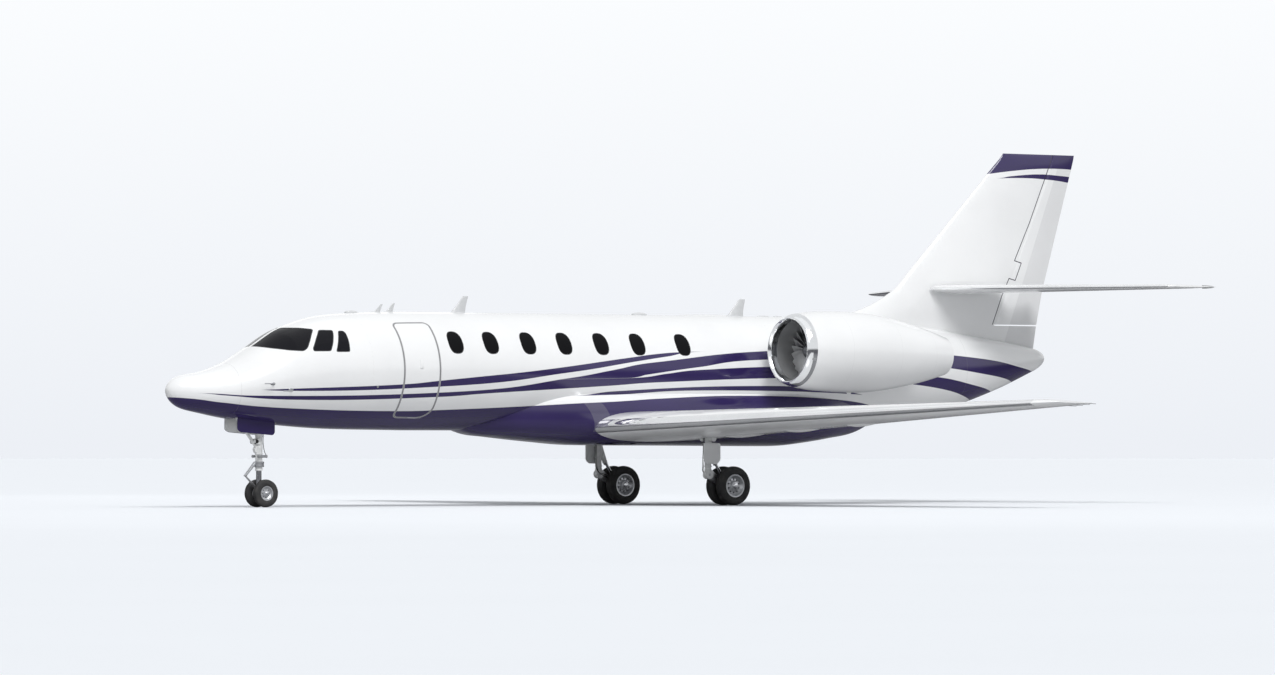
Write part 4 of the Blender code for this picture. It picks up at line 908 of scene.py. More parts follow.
layerRows = row(1.15, 3.44, 0.04)
for side, word in sides:
    for title, (points, inboard, node) in cockpit["panes"].items():
        pane = skinLayer(word + title, layerRows, *cockpit["glassDepths"])
        carve(pane, [paneCutter(points, side, inboard, cockpit["seal"])], "INTERSECT")
        finish(skinNormals(pane, 0.0045), "airframe", cockpitGlass, [f"{word}_{node}"])
        sealRing = skinLayer(word + title + "Seal", layerRows, *cockpit["sealDepths"])
        carve(sealRing, [paneCutter(points, side, inboard, 0.0004)], "INTERSECT")
        carve(sealRing, [paneCutter(points, side, inboard, cockpit["seal"] + 0.0002, 1.09)])
        finish(sealRing, "airframe", seal)
print("nose and cockpit made")


# Cabin, its windows and its entry door

cabin = {
    "windows": [5.14, 5.86, 6.63, 7.38, 8.15, 8.92, 9.88], "windowZ": 2.72, "window": (0.30, 0.375),
    "frame": 0.010, "doorStations": (4.05, 4.75), "doorZ": (1.47, 3.045), "doorCorner": 0.10,
    "lowCorner": 0.26, "doorAir": 0.006, "line": (0.003, 0.019), "treads": (1.78, 2.06, 2.34, 2.62),
    "tread": (0.20, 0.03), "hinge": (-0.600601, 1.472298), "handle": (-5.30, -0.985, 2.36),
}
cabinAxis, cabinRadius = 2.2525, 0.9875  # height of the round cabin's middle, and its radius
doorHigh, doorLow = [math.asin((cabinAxis - z) / cabinRadius) for z in cabin["doorZ"][::-1]]


def doorRegion(name, air):
    # A block square to the skin, lofted by angle down the door's curve. Its rows narrow at both ends
    low, high = doorLow + air / cabinRadius, doorHigh - air / cabinRadius
    front, back = cabin["doorStations"][0] - air, cabin["doorStations"][1] + air
    corner, wide = cabin["doorCorner"] + air, cabin["lowCorner"] + air
    turn = np.linspace(0, math.pi / 2, 9)
    angles = np.concatenate([high + corner / cabinRadius * (1 - np.cos(turn)),
                             np.linspace(high, low, 42)[4:-4],
                             low - corner / cabinRadius * (1 - np.cos(turn[::-1]))])
    narrow = np.concatenate([corner * (1 - np.sin(turn)), np.zeros(34), corner * (1 - np.sin(turn[::-1]))])
    order = np.argsort(angles, kind="stable")
    angles, narrow = angles[order], narrow[order]
    # The rear lower corner is a larger quarter circle
    rise = np.clip((angles - (low - wide / cabinRadius)) * cabinRadius / wide, 0, 1)
    rear = np.maximum(narrow * (angles < (low + high) / 2), wide * (1 - np.sqrt(1 - rise**2)))
    inner, outer = cabinRadius - wall - 0.12, cabinRadius + 0.12
    ring = []
    for radius, station in ((inner, front + narrow), (inner, back - rear), (outer, back - rear),
                            (outer, front + narrow)):
        ring.append(np.stack([station - halfLength, -radius * np.cos(angles),
                              cabinAxis - radius * np.sin(angles)], -1))
    return surface(name, np.stack(ring, 1))


def cabinRows(high):
    return np.concatenate([row(cockpitEnd, 4.9, 0.05), row(5.0, high, 0.12)])


def windowCutter(by, reach, sides):
    # Every window's oval, drawn in by a little and pulled through the sides
    wide, tall = np.subtract(cabin["window"], 2 * by)
    outlines = [oval((s - halfLength, cabin["windowZ"]), wide, tall) for s in cabin["windows"]]
    return joined("windowCutter", [plate("bar", outline, side * 0.60, side * reach)
                                   for side in sides for outline in outlines])


inner = cabinRows(cabinEnd - wall)
shellRows = [bodyGrid(cabinRows(cabinEnd - gap))[::-1], bodyGrid(inner, -wall, innerFloor(inner))]
cabinShell = surface("cabinShell", np.concatenate(shellRows))
carve(cabinShell, [windowCutter(0.0, 1.10, (-1, 1)), doorRegion("doorOpening", cabin["doorAir"])])


def doorLine(tree, axes):
    # A line round the door: its distance from a rounded rectangle in (station, arc length)
    x, y, z = axes
    start, end = cabin["doorStations"]
    halfArc, middleArc = (doorLow - doorHigh) / 2 * cabinRadius, (doorLow + doorHigh) / 2 * cabinRadius
    across = x - ((start + end) / 2 - halfLength)
    down = (cabinAxis - z).math("ARCTAN2", y * -1.0) * cabinRadius - middleArc
    corner = (across > 0.0) * (down > 0.0) * (cabin["lowCorner"] - cabin["doorCorner"]) + cabin["doorCorner"]
    u, v = abs(across) - ((end - start) / 2 - corner), abs(down) - (halfArc - corner)
    far = (u.most(0.0).math("POWER", 2.0) + v.most(0.0).math("POWER", 2.0)).math("SQRT")
    shift, half = cabin["line"]
    off = abs(far + u.most(v).least(0.0) - corner - shift)
    return (off < half) * (y < 0.0)


doorPaint = paintMaterial("white enamel with stripes and door line", bodyStripes, overlay=doorLine)
finish(skinNormals(paintInside(cabinShell, doorPaint)), "airframe", nodes=["cabin_fuselage"])

paneRows, rim = row(4.9, 10.2, 0.12), cabin["frame"]
for side, word in sides:
    panes = skinLayer(word + "CabinPanes", paneRows, 0.006, 0.016)
    carve(panes, [windowCutter(rim, 1.09, [side])], "INTERSECT")
    finish(panes, "airframe", cabinGlass)
    seals = skinLayer(word + "CabinWindowSeals", paneRows, 0.002, 0.022)
    carve(seals, [windowCutter(0.0004, 1.09, [side])], "INTERSECT")
    carve(seals, [windowCutter(rim + 0.0002, 1.11, [side])])
    finish(seals, "airframe", seal)

doorRows = row(3.95, 4.8, 0.05)
doorLining = bodyGrid(doorRows, -wall, innerFloor(doorRows))[::-1]
doorShell = surface("doorShell", np.concatenate([bodyGrid(doorRows), doorLining]), closeRows=True)
carve(doorShell, [doorRegion("doorShape", 0.0)], "INTERSECT")
finish(skinNormals(paintInside(doorShell, doorPaint)), "entry_door", nodes=["cabin_door"])

front, back = [s - halfLength for s in cabin["doorStations"]]
deep, thick = cabin["tread"]
steps = []
for height in cabin["treads"]:
    near = -math.sqrt((cabinRadius - wall) ** 2 - (height - cabinAxis) ** 2)
    steps.append(block("tread", (front + 0.07, near - 0.02, height),
                       (back - 0.07, near + deep, height + thick), 0.006))
    steps += [block("rib", (front + 0.09, y, height + 0.0295), (back - 0.09, y + 0.006, height + 0.0325))
              for y in np.arange(near + 0.03, near + deep - 0.02, 0.018)]
finish(joined("doorTreads", steps), "entry_door", greyTrim)
knuckles = [bar("knuckle", (x, *cabin["hinge"]), (x + 0.048, *cabin["hinge"]), 0.0053, 20)
            for x in np.arange(4.36, 4.60, 0.0525) - halfLength]
finish(joined("doorHinge", knuckles), "entry_door", steel)
grip = joined("doorHandle", [block("handlePlate", (-0.03, -0.004, -0.075), (0.03, 0.0045, 0.075), 0.002),
                             block("handleBar", (-0.012, -0.006, -0.055), (0.012, -0.001, 0.055), 0.003)])
depth, normal = [value[0] for value in bodyDepth([cabin["handle"]])]
lean = Matrix.Rotation(math.atan2(-normal[2], -normal[1]), 4, "X")
grip.matrix_world = Matrix.Translation(Vector(cabin["handle"] + normal * depth)) @ lean
finish(grip, "entry_door", plainPaint)
print("cabin and door made")


# Aft body and tail cone

shellRows = [bodyGrid(row(cabinEnd, aftEnd - gap, 0.08)[::-1]),
             bodyGrid(row(cabinEnd, aftEnd - body["aftWall"], 0.16), -body["aftWall"])]
aftShell = surface("aftShell", np.concatenate(shellRows))
finish(skinNormals(paintInside(aftShell, bodyPaint)), "airframe", nodes=["aft_fuselage"])

coneStart, coneEnd = 18.34, body["end"]  # the round end of the tail cone
t = np.linspace(0, 1, 14)[1:] * math.pi / 2
endStations = coneStart + (coneEnd - coneStart) * np.sin(t)
centre = np.array([endStations - halfLength, np.zeros(13), (roofAt(endStations) + keelAt(endStations)) / 2]).T
cap = (bodyGrid(endStations) - centre[:, None]) * np.cos(t)[:, None, None] ** 0.55 + centre[:, None]
cap[..., 0] = (endStations - halfLength)[:, None]
hollow = bodyGrid(row(aftEnd, 17.9, 0.1), -body["aftWall"])
tailCone = surface("tailCone", np.concatenate([hollow[::-1], bodyGrid(row(aftEnd, coneStart, 0.05)), cap]))
finish(skinNormals(tailCone), "airframe", bodyPaint, ["tail_cone"])

fairing = {
    "rows": [(5.60, 1.33, 0.34), (5.98, 1.205, 0.46), (6.48, 1.155, 0.70), (7.48, 1.07, 0.98),
             (8.23, 1.02, 1.05), (10.2, 1.01, 1.06), (12.23, 1.00, 1.05), (12.89, 1.055, 0.97),
             (13.42, 1.125, 0.84), (13.96, 1.21, 0.66), (14.50, 1.42, 0.40)],
    "axis": 1.52, "top": 2.05, "squareness": 3.0, "steps": 160,
    "band": {"station": 8.09, "middle": 1.28, "bow": 1.1, "half": 0.18, "heights": (1.24, 1.73),
             "tone": 0.16},
}
stations = row(5.60, 14.50, 0.07)
bottom, wide = [curveThrough([(r[0], r[i]) for r in fairing["rows"]])(stations) for i in (1, 2)]
a = (np.arange(fairing["steps"]) + 0.5) * math.tau / fairing["steps"]
c, s = np.cos(a), np.sin(a)
power, axis = 2 / fairing["squareness"], fairing["axis"]
tall = np.where(s > 0, fairing["top"] - axis, axis - bottom[:, None])
# |y / wide|^squareness + |(z - axis) / tall|^squareness = 1
grid = np.stack([np.repeat((stations - halfLength)[:, None], fairing["steps"], 1),
                 wide[:, None] * np.sign(c) * np.abs(c) ** power,
                 axis + tall * np.sign(s) * np.abs(s) ** power], -1)


def rootBand(tree, axes):
    # A band ahead of the wing root, between two heights, about station - bow * (z - middle)^2
    x, y, z = axes
    band = fairing["band"]
    off = x - ((band["station"] - halfLength) - (z - band["middle"]).math("POWER", 2.0) * band["bow"])
    low, high = band["heights"]
    inside = (off > -band["half"]) * (off < band["half"]) * ((z > low) * (z < high))
    return inside * (abs(y) > 0.3) * band["tone"]


fairingPaint = paintMaterial("enamel with blue stripes and root band", bodyStripes, overlay=rootBand)
bellyFairing = carve(surface("bellyFairing", grid), [bodyBlock("bodySolid", 4.9, 15.2, 0.1)])
finish(bellyFairing, "airframe", fairingPaint, ["belly_fairing"])
print("aft body and fairing made")


# Wings

wing = {
    "inner": (1.0, 7.93, 1.31, 11.75), "outer": (9.25, 10.42, 1.69, 11.50),
    "tip": (9.65, 10.80, 1.715, 11.49),
    "drop": 0.022, "thickness": (0.128, 0.11), "lean": 0.22, "rootY": 0.80, "air": 0.006, "plate": 0.018,
    "flap": (1.18, 5.25, 0.745), "aileron": (5.75, 8.95, 0.72), "brake": (2.3, 4.6, 0.61, 0.71),
    "well": (9.66, 10.12, 0.17, 1.20), "gearY": 1.55,
}
reach = [wing[key][0] for key in ("inner", "outer", "tip")]


def airfoilHalf(s, thickness):
    # 5 t (0.2969 sqrt s - 0.126 s - 0.3516 s^2 + 0.2843 s^3 - 0.1036 s^4) + 0.0012 s
    curve = 0.2969 * np.sqrt(s) - 0.126 * s - 0.3516 * s**2 + 0.2843 * s**3 - 0.1036 * s**4
    return 5 * thickness * curve + 0.0012 * s


def airfoilGrid(front, back, up, thickness, steps=44, lean=0.0):
    # Per row: front + (back - front) s + up * chord * half(s) * (lean +- 1), with s crowded to both edges
    front, back = np.asarray(front, float), np.asarray(back, float)
    thickness = np.broadcast_to(thickness, len(front))[:, None]
    s = (1 - np.cos(np.linspace(0, math.pi, steps + 1))) / 2
    s = np.concatenate([s[::-1], s[1:]])
    sign = np.concatenate([np.ones(steps + 1), -np.ones(steps)]) + lean
    chord = np.linalg.norm(back - front, axis=1)[:, None]
    half = np.where(s == 0, 0, airfoilHalf(s[None], thickness) * chord * sign)
    lift = half[..., None] * np.asarray(up, float)
    return front[:, None] + (back - front)[:, None] * s[None, :, None] + lift


def wingAt(out):
    # Front and back points and thickness of the wing at distances out
    out = np.asarray(out, float)
    t = np.clip((out - reach[1]) / (reach[2] - reach[1]), 0, 1)
    values = []
    for column, power in ((1, 1.5), (2, 1), (3, 1)):
        a, b, c = [wing[key][column] for key in ("inner", "outer", "tip")]
        straight = a + (b - a) * (out - reach[0]) / (reach[1] - reach[0])
        values.append(np.where(out <= reach[1], straight, b + (c - b) * t**power))
    front, height, back = values
    low = height - wing["drop"] * (back - front)
    return (np.stack([front - halfLength, out, height], -1), np.stack([back - halfLength, out, low], -1),
            np.interp(out, reach[:2], wing["thickness"]))


def roundedEnd(start, end, count):
    # Places that crowd towards a rounded end
    return start + (end - start) * np.sin(np.linspace(0, math.pi / 2, count)[1:])


def wingBlank(name):
    outs = np.concatenate([[wing["rootY"]], np.linspace(reach[0], reach[1], 56),
                           roundedEnd(reach[1], reach[2], 12)])
    front, back, thickness = wingAt(outs)
    t = np.clip((outs - reach[1]) / (reach[2] - reach[1]), 0, 1)
    thickness = thickness * np.sqrt(np.maximum(1 - t**2 * 0.90, 0))
    return surface(name, airfoilGrid(front, back, (0, 0, 1), thickness, lean=wing["lean"]))


def hingePoint(out, part):
    front, back, thickness = [value[0] for value in wingAt([out])]
    half = airfoilHalf(part, thickness) * np.linalg.norm(back - front)
    return front + (back - front) * part + (0, 0, wing["lean"] * half), half * 1.05


def hingeRegion(start, end, radii, up, grow=0.0, long=0.0, level=False, steps=28):
    # A round front about the hinge line, and all that is aft of it
    line = (end - start) / np.linalg.norm(end - start)
    up = up - line * (up @ line)
    up /= np.linalg.norm(up)
    back = np.cross(line, up)
    back = back if back[0] > 0 else -back
    stretch = 1.0
    if level:
        stretch, back = 1 / abs(line[2]), np.array([1.0, 0, 0])
    a, far, tall = np.linspace(0, math.pi, steps), 1.6, 0.6
    rings = []
    for point, radius, shift in ((start, radii[0] + grow, -long), (end, radii[1] + grow, long)):
        arc = np.stack([-radius * stretch * np.sin(a), -radius * np.cos(a)], -1)
        outline = np.concatenate([[(far, -tall), (0, -tall)], arc, [(0, tall), (far, tall)]])
        rings.append(point + line * shift * stretch + outline[:, :1] * back + outline[:, 1:] * up)
    return surface("hingeRegion", np.stack(rings))


def hinged(blank, parent, start, end, radii, up, opens=(0.0, 0.0), level=False):
    # Cuts a hinged surface out of its blank, and a bay for it out of its parent
    start, end, up = [np.asarray(value, float) for value in (start, end, up)]
    line, air = (end - start) / np.linalg.norm(end - start), wing["air"]
    carve(blank, [hingeRegion(start, end, radii, up, level=level)], "INTERSECT")
    wider = start - line * opens[0], end + line * opens[1]
    carve(parent, [hingeRegion(*wider, radii, up, air, air, level)])
    return blank


def mirrorOf(piece, name):
    # The same piece on the other side: y turned to -y and the faces turned round
    mesh = piece.data.copy()
    mesh.transform(Matrix.Diagonal((1, -1, 1, 1)))
    mesh.flip_normals()
    return linked(name, mesh)


rightWing = wingBlank("rightWing")
movers = {}
for key in ("flap", "aileron"):
    inner, outer, part = wing[key]
    (start, r1), (end, r2) = hingePoint(inner, part), hingePoint(outer, part)
    movers[key] = hinged(wingBlank(f"right{key.title()}"), rightWing, start, end, (r1, r2), (0, 0, 1))
inner, outer, fore, aft = wing["brake"]
shapes = {}
for kind, air in (("panel", 0.0), ("bay", wing["air"])):
    rings = []
    for out, end in ((inner, -1), (outer, 1)):
        front, back, thickness = [v[0] for v in wingAt([out])]
        ring = []
        for part, shift, upper in ((fore, -air, False), (aft, air, False),
                                   (aft, air, True), (fore, -air, True)):
            x, _, z = front + (back - front) * part
            skin = z + airfoilHalf(part, thickness) * np.linalg.norm(back - front) * (1 + wing["lean"])
            ring.append((x + shift, out + end * air, skin + 0.08 if upper else skin - wing["plate"] - air))
        rings.append(ring)
    shapes[kind] = surface("brakeShape", np.array(rings))
movers["speedBrake"] = carve(wingBlank("rightSpeedBrake"), [shapes["panel"]], "INTERSECT")
low, high, half, top = wing["well"]
gearLow, gearHigh = wing["gearY"] - half, wing["gearY"] + half
carve(rightWing, [shapes["bay"], block("well", (low - halfLength, gearLow, 0.9),
                                       (high - halfLength, gearHigh, top))])

for side, word in sides[::-1]:
    for piece, title, rider, material, node in (
            (movers["speedBrake"], "SpeedBrake", f"{word}_speed_brake_body", plainPaint, "speed_brake"),
            (movers["aileron"], "Aileron", f"{word}_aileron_body", plainPaint, "aileron"),
            (movers["flap"], "Flap", f"{word}_flap_body", plainPaint, "flap"),
            (rightWing, "Wing", "airframe", wingPaint, "wing")):
        finish(piece if side > 0 else mirrorOf(piece, "left" + title), rider, material, [f"{word}_{node}"])
print("wings made")


# Fin, rudder, tailplane and elevators

tail = {
    "edge": [(13.75, 3.20), (14.58, 3.42), (15.19, 3.72), (15.66, 4.19), (17.34, 5.83), (17.73, 6.20)],
    "back": [(18.36, 2.55), (18.47, 3.16), (18.61, 3.77), (19.37, 6.20)], "half": (0.155, 0.065),
    "low": 2.60, "cap": 5.98, "height": 6.20, "rudder": ((17.50, 3.16), (18.93, 6.20)),
    "planeThick": 0.066, "planeZ": 3.77, "root": (0.185, 15.88, 18.22), "tip": (4.20, 17.98, 19.05),
    "planeCap": 4.0, "pivot": 17.05, "pivotRadius": 0.06, "elevator": (0.46, 3.85, 0.71),
}


def alongLine(z, points):
    # The station of a line of (station, height) points at heights z
    return np.interp(z, [p[1] for p in points], [p[0] for p in points])


def finHalf(z):
    return np.interp(z, [3.4, tail["height"]], tail["half"])


def finAt(z):
    # The straight pieces of the front edge run into each other in curves
    front = alongLine(z, tail["edge"])
    for shift in (-0.09, -0.045, 0.045, 0.09):
        front = front + alongLine(np.clip(z + shift, 3.2, 6.2), tail["edge"])
    zero = np.zeros_like(z)
    return (np.stack([front / 5 - halfLength, zero, z], -1),
            np.stack([alongLine(z, tail["back"]) - halfLength, zero, z], -1), finHalf(z))


def finBlank(name):
    z = np.concatenate([np.linspace(tail["low"], tail["cap"], 60),
                        roundedEnd(tail["cap"], tail["height"], 10)])
    front, back, half = finAt(z)
    t = np.clip((z - tail["cap"]) / (tail["height"] - tail["cap"]), 0, 1)
    chord = np.linalg.norm(back - front, axis=1)
    back[:, 0] -= 0.012 * t**3
    return surface(name, airfoilGrid(front, back, (0, 1, 0), 2 * half / chord * np.sqrt(1 - t**2 * 0.97), 48))


fin, rudder = finBlank("verticalFin"), finBlank("rudder")
carve(fin, [bodyBlock("bodyTop", 12.6, 18.6, 0.1)])
(lowX, lowZ), (highX, highZ) = tail["rudder"]
levels = np.linspace(lowZ, tail["height"] - 0.1, 12)
front, back = [alongLine(levels, tail[key]) for key in ("edge", "back")]
hingeX = np.interp(levels, [lowZ, highZ], [lowX, highX])
chords = back - front
depths = airfoilHalf((hingeX - front) / chords, 2 * finHalf(levels) / chords) * chords * 1.04
growth = np.max((depths - depths[-1]) / (tail["height"] - levels))
radii = (depths[-1], depths[-1] + growth * (highZ - lowZ))
hinged(rudder, fin, (highX - halfLength, 0, highZ + 0.05), (lowX - halfLength, 0, lowZ), radii, (0, 1, 0),
       (0.4, 0.02), True)
pivotX = tail["pivot"] - halfLength
carve(fin, [crossBar("pivotHole", pivotX, 0, tail["planeZ"], 0.4, tail["pivotRadius"] + 0.0007, 48)])
finish(fin, "airframe", finPaint, ["vertical_fin"])
finish(rudder, "rudder_body", finPaint, ["rudder"])


def planeAt(out):
    # Front and back points of the tailplane at distances out
    out = np.asarray(out, float)
    t = (out - tail["root"][0]) / (tail["tip"][0] - tail["root"][0])
    z = np.full_like(out, tail["planeZ"])
    return [np.stack([tail["root"][i] + (tail["tip"][i] - tail["root"][i]) * t - halfLength, out, z], -1)
            for i in (1, 2)]


def planeBlank(name):
    cap, end = tail["planeCap"], tail["tip"][0]
    outs = np.concatenate([np.linspace(tail["root"][0], cap, 34), roundedEnd(cap, end, 10)])
    front, back = planeAt(outs)
    t = np.clip((outs - cap) / (end - cap), 0, 1)
    front[:, 0] += 0.10 * t**3
    thickness = tail["planeThick"] * np.sqrt(1 - 0.90 * t**2)
    return surface(name, airfoilGrid(front, back, (0, 0, 1), thickness, 40))


rightHalf = planeBlank("rightHalf")
inner, outer, part = tail["elevator"]
ends, radii = [], []
for out in (inner, outer):
    front, back = [v[0] for v in planeAt([out])]
    ends.append(front + (back - front) * part)
    radii.append(airfoilHalf(part, tail["planeThick"]) * np.linalg.norm(back - front) * 1.05)
elevator = hinged(planeBlank("rightElevator"), rightHalf, *ends, radii, (0, 0, 1), (0.32, 0.0))
pivotTube = crossBar("pivotTube", pivotX, 0, tail["planeZ"], tail["root"][0] + 0.05, tail["pivotRadius"], 48)
halves = coloured(tailPaint, mirrorOf(rightHalf, "leftHalf"), rightHalf)
finish(joined("tailplane", halves + coloured(steel, pivotTube)), "tailplane", nodes=["stabiliser"])
finish(mirrorOf(elevator, "leftElevator"), "left_elevator_body", plainPaint, ["left_elevator"])
finish(elevator, "right_elevator_body", plainPaint, ["right_elevator"])
print("tail made")


# Engines

engine = {
    "y": 1.75, "station": 11.45, "z": 2.64, "droop": 1.4,
    "nacelle": [(0.17, 0.628), (0.45, 0.665), (0.85, 0.686), (1.25, 0.692), (1.9, 0.655), (2.5, 0.555),
                (3.0, 0.445), (3.4, 0.335)],
    "lip": [(0.17, 0.628), (0.08, 0.603), (0.015, 0.568), (0.0, 0.548), (0.03, 0.520), (0.17, 0.50)],
    "inner": [(3.4, 0.322), (3.0, 0.42), (2.5, 0.53), (1.9, 0.63), (1.25, 0.665), (1.08, 0.50)],
    "plug": [(2.5, 0.38), (2.8, 0.315), (3.0, 0.262), (3.30, 0.165), (3.50, 0.085), (3.60, 0.036),
             (3.62, 0.0)],
    "nozzle": [(3.05, 0.245), (3.30, 0.215), (3.385, 0.205), (3.385, 0.2), (3.30, 0.2085), (3.05, 0.238)],
    "duct": 0.50, "fanAt": 0.50, "spinner": 0.35, "blades": 22, "core": 0.86, "vanes": 32, "steps": 128,
    "seams": (0.92, 2.02, 2.92), "seam": 0.0022, "seamTone": 0.22,
}


def enginePlace(side):
    return (Matrix.Translation((engine["station"] - halfLength, side * engine["y"], engine["z"]))
            @ Matrix.Rotation(math.radians(engine["droop"]), 4, "Y"))


def bladeRing(count, inner, outer, angles, chords, sweep, along, thick=0.005, rows=14, cols=9):
    # A blade: a thin lens carried out along the radius, turned from hub to tip and swept back
    t = np.linspace(0, 1, rows)[:, None]
    r = inner + (outer - inner) * t
    angle = np.radians(angles[0] + (angles[1] - angles[0]) * t)
    chord = chords[0] + (chords[1] - chords[0]) * np.sin(t * math.pi / 2)
    u = np.linspace(-0.5, 0.5, cols)
    lens = thick * (1 - t * 0.6) * np.sqrt(np.maximum(0.25 - u**2, 0.003)) * 2
    points = []
    for sign in (1, -1):
        forward, across = u * chord, 0.08 * chord * (0.25 - u**2) + sign * lens / 2
        x = along + forward * np.cos(angle) - across * np.sin(angle) + sweep * t**2
        side = forward * np.sin(angle) + across * np.cos(angle) + 0.05 * t**2
        points.append(np.stack([x, side, r + 0 * x], -1))
    blade = np.concatenate([points[0], points[1][:, ::-1]], 1)
    # Each point keeps its radius: y and z follow the circle as the blade curves round
    x, side, radius = blade[..., 0], blade[..., 1], blade[..., 2]
    a = np.arctan2(side, radius) + (np.arange(count) * math.tau / count)[:, None, None]
    grid = np.stack([np.broadcast_to(x, a.shape), radius * np.sin(a), radius * np.cos(a)], -1)
    n, m = blade.shape[:2]
    faces = []
    for first in range(0, count * n * m, n * m):
        ends = [(np.arange(m) + start)[None, :] for start in (first, first + (n - 1) * m)]
        faces += [gridFaces(n, m, False, True, first), *ends]
    return meshObject("blades", grid.reshape(-1, 3), faces, 40)


def nacelleColours(piece, place):
    # Duct lining inside ahead of the fan, hot metal inside behind it, enamel outside
    mesh, back = piece.data, place.inverted()
    turn = np.array(back.to_3x3()).T
    local = read(mesh.polygons, "center") @ turn + np.array(back.translation)
    inward = (read(mesh.polygons, "normal") @ turn * local)[:, 1:].sum(1) < 0
    for material in (nacellePaint, ductGrey, hotMetal):
        mesh.materials.append(material)
    rear = inward | (np.hypot(local[:, 1], local[:, 2]) < 0.25)
    index = np.where(inward & (local[:, 0] < 1.0), 1, np.where(rear, 2, 0))
    mesh.polygons.foreach_set("material_index", index.astype(np.int32))


def engineSet(word, side):
    place = enginePlace(side)
    steps, duct, fanAt, core = [engine[key] for key in ("steps", "duct", "fanAt", "core")]
    tip, seat = engine["spinner"], duct - gap
    (lipX, lipRadius), *outer = engine["nacelle"]
    profile = np.concatenate([smoothPath([(lipX + gap, lipRadius)] + outer, 60),
                              smoothPath(engine["inner"][:5], 30), [engine["inner"][5], (lipX + gap, duct)]])
    nacelle = revolve("nacelle", profile, steps=steps, closed=True)
    nacelle.matrix_world = place
    nacelleColours(settle(nacelle), place)
    lip = revolve("lip", smoothPath(engine["lip"], 36), steps=steps, closed=True, sharp=50)
    spinner = smoothPath([(tip, 0.0), (tip + 0.006, 0.030), (tip + 0.03, 0.070), (tip + 0.07, 0.112),
                          (fanAt - 0.02, 0.145), (fanAt + 0.06, 0.16)], 40)
    shaft = [(fanAt + 0.10, 0.16), (fanAt + 0.10, 0.06), (core - 0.0006, 0.06), (core - 0.0006, 0.0)]
    hub = revolve("hub", np.concatenate([spinner, shaft]))
    blades = bladeRing(engine["blades"], 0.13, duct - 0.009, (24, 58), (0.11, 0.17), 0.03, fanAt - 0.012)
    fan = joined("fan", coloured(dark, hub) + coloured(bladeMetal, blades))
    shell = [(core, 0), (core, 0.205), (core + 0.055, 0.215), (core + 0.055, seat), (core + 0.16, seat),
             (core + 0.18, 0.40), (2.5, 0.38)]
    middle = revolve("core", np.concatenate([shell, smoothPath(engine["plug"], 40)[1:]]), steps=96)
    vanes = bladeRing(engine["vanes"], 0.20, seat - 0.001, (14, 10), (0.07, 0.09),
                      0.0, core + 0.02, 0.006, 5, 7)
    disc = [(core + 0.050, 0.0), (core + 0.050, seat - 0.001), (core + 0.0545, seat - 0.001),
            (core + 0.0545, 0.0)]
    nozzle = revolve("nozzle", engine["nozzle"], steps=96, closed=True)
    motor = joined("motor", coloured(hotMetal, middle) + coloured(ductGrey, vanes)
                   + coloured(blackPlastic, revolve("vaneDisc", disc, steps=96)) + coloured(hotMetal, nozzle))
    for piece, title, rider, material, node in ((nacelle, "Nacelle", "airframe", None, "nacelle"),
                                                (lip, "InletLip", "airframe", chrome, "inlet_lip"),
                                                (fan, "Fan", f"{word}_fan_body", None, "fan"),
                                                (motor, "EngineCore", "airframe", None, "engine_core")):
        piece.name = word + title
        if piece is not nacelle:
            piece.matrix_world = place
        finish(piece, rider, material, [f"{word}_{node}"])


def nacelleLines(tree, axes):
    # Thin seams round the nacelle, where one cowl ends and the next begins
    near = [abs(axes[0] - (engine["station"] - halfLength + along)) < engine["seam"]
            for along in engine["seams"]]
    return chained(near, Signal.most) * engine["seamTone"]


nacellePaint = paintMaterial("nacelle enamel", overlay=nacelleLines)
for side, word in sides:
    engineSet(word, side)

pylon = {"out": (0.70, 1.40), "front": (12.05, 12.20), "back": (15.05, 14.75), "depth": 0.085, "under": 0.03}
outs = np.linspace(*pylon["out"], 12)
z = engine["z"] - pylon["under"]
front, back = [np.stack([np.interp(outs, pylon["out"], pylon[key]) - halfLength, outs,
                         np.full(12, height)], -1) for key, height in (("front", z), ("back", z - 0.04))]
arm = surface("rightPylon", airfoilGrid(front, back, (0, 0, 1), pylon["depth"], 40))
outerLine = smoothPath(engine["nacelle"], 50) + (0, 0.0006)
nacelleSolid = revolve("nacelleSolid", np.concatenate([[(0.10, 0)], outerLine, [(3.4, 0)]]), steps=96)
nacelleSolid.matrix_world = enginePlace(1)
carve(arm, [bodyBlock("bodySolid", 11.6, 15.7, 0.1), nacelleSolid])
finish(mirrorOf(arm, "leftPylon"), "airframe", plainPaint, ["left_pylon"])
finish(arm, "airframe", plainPaint, ["right_pylon"])
print("engines made")


# Landing gear

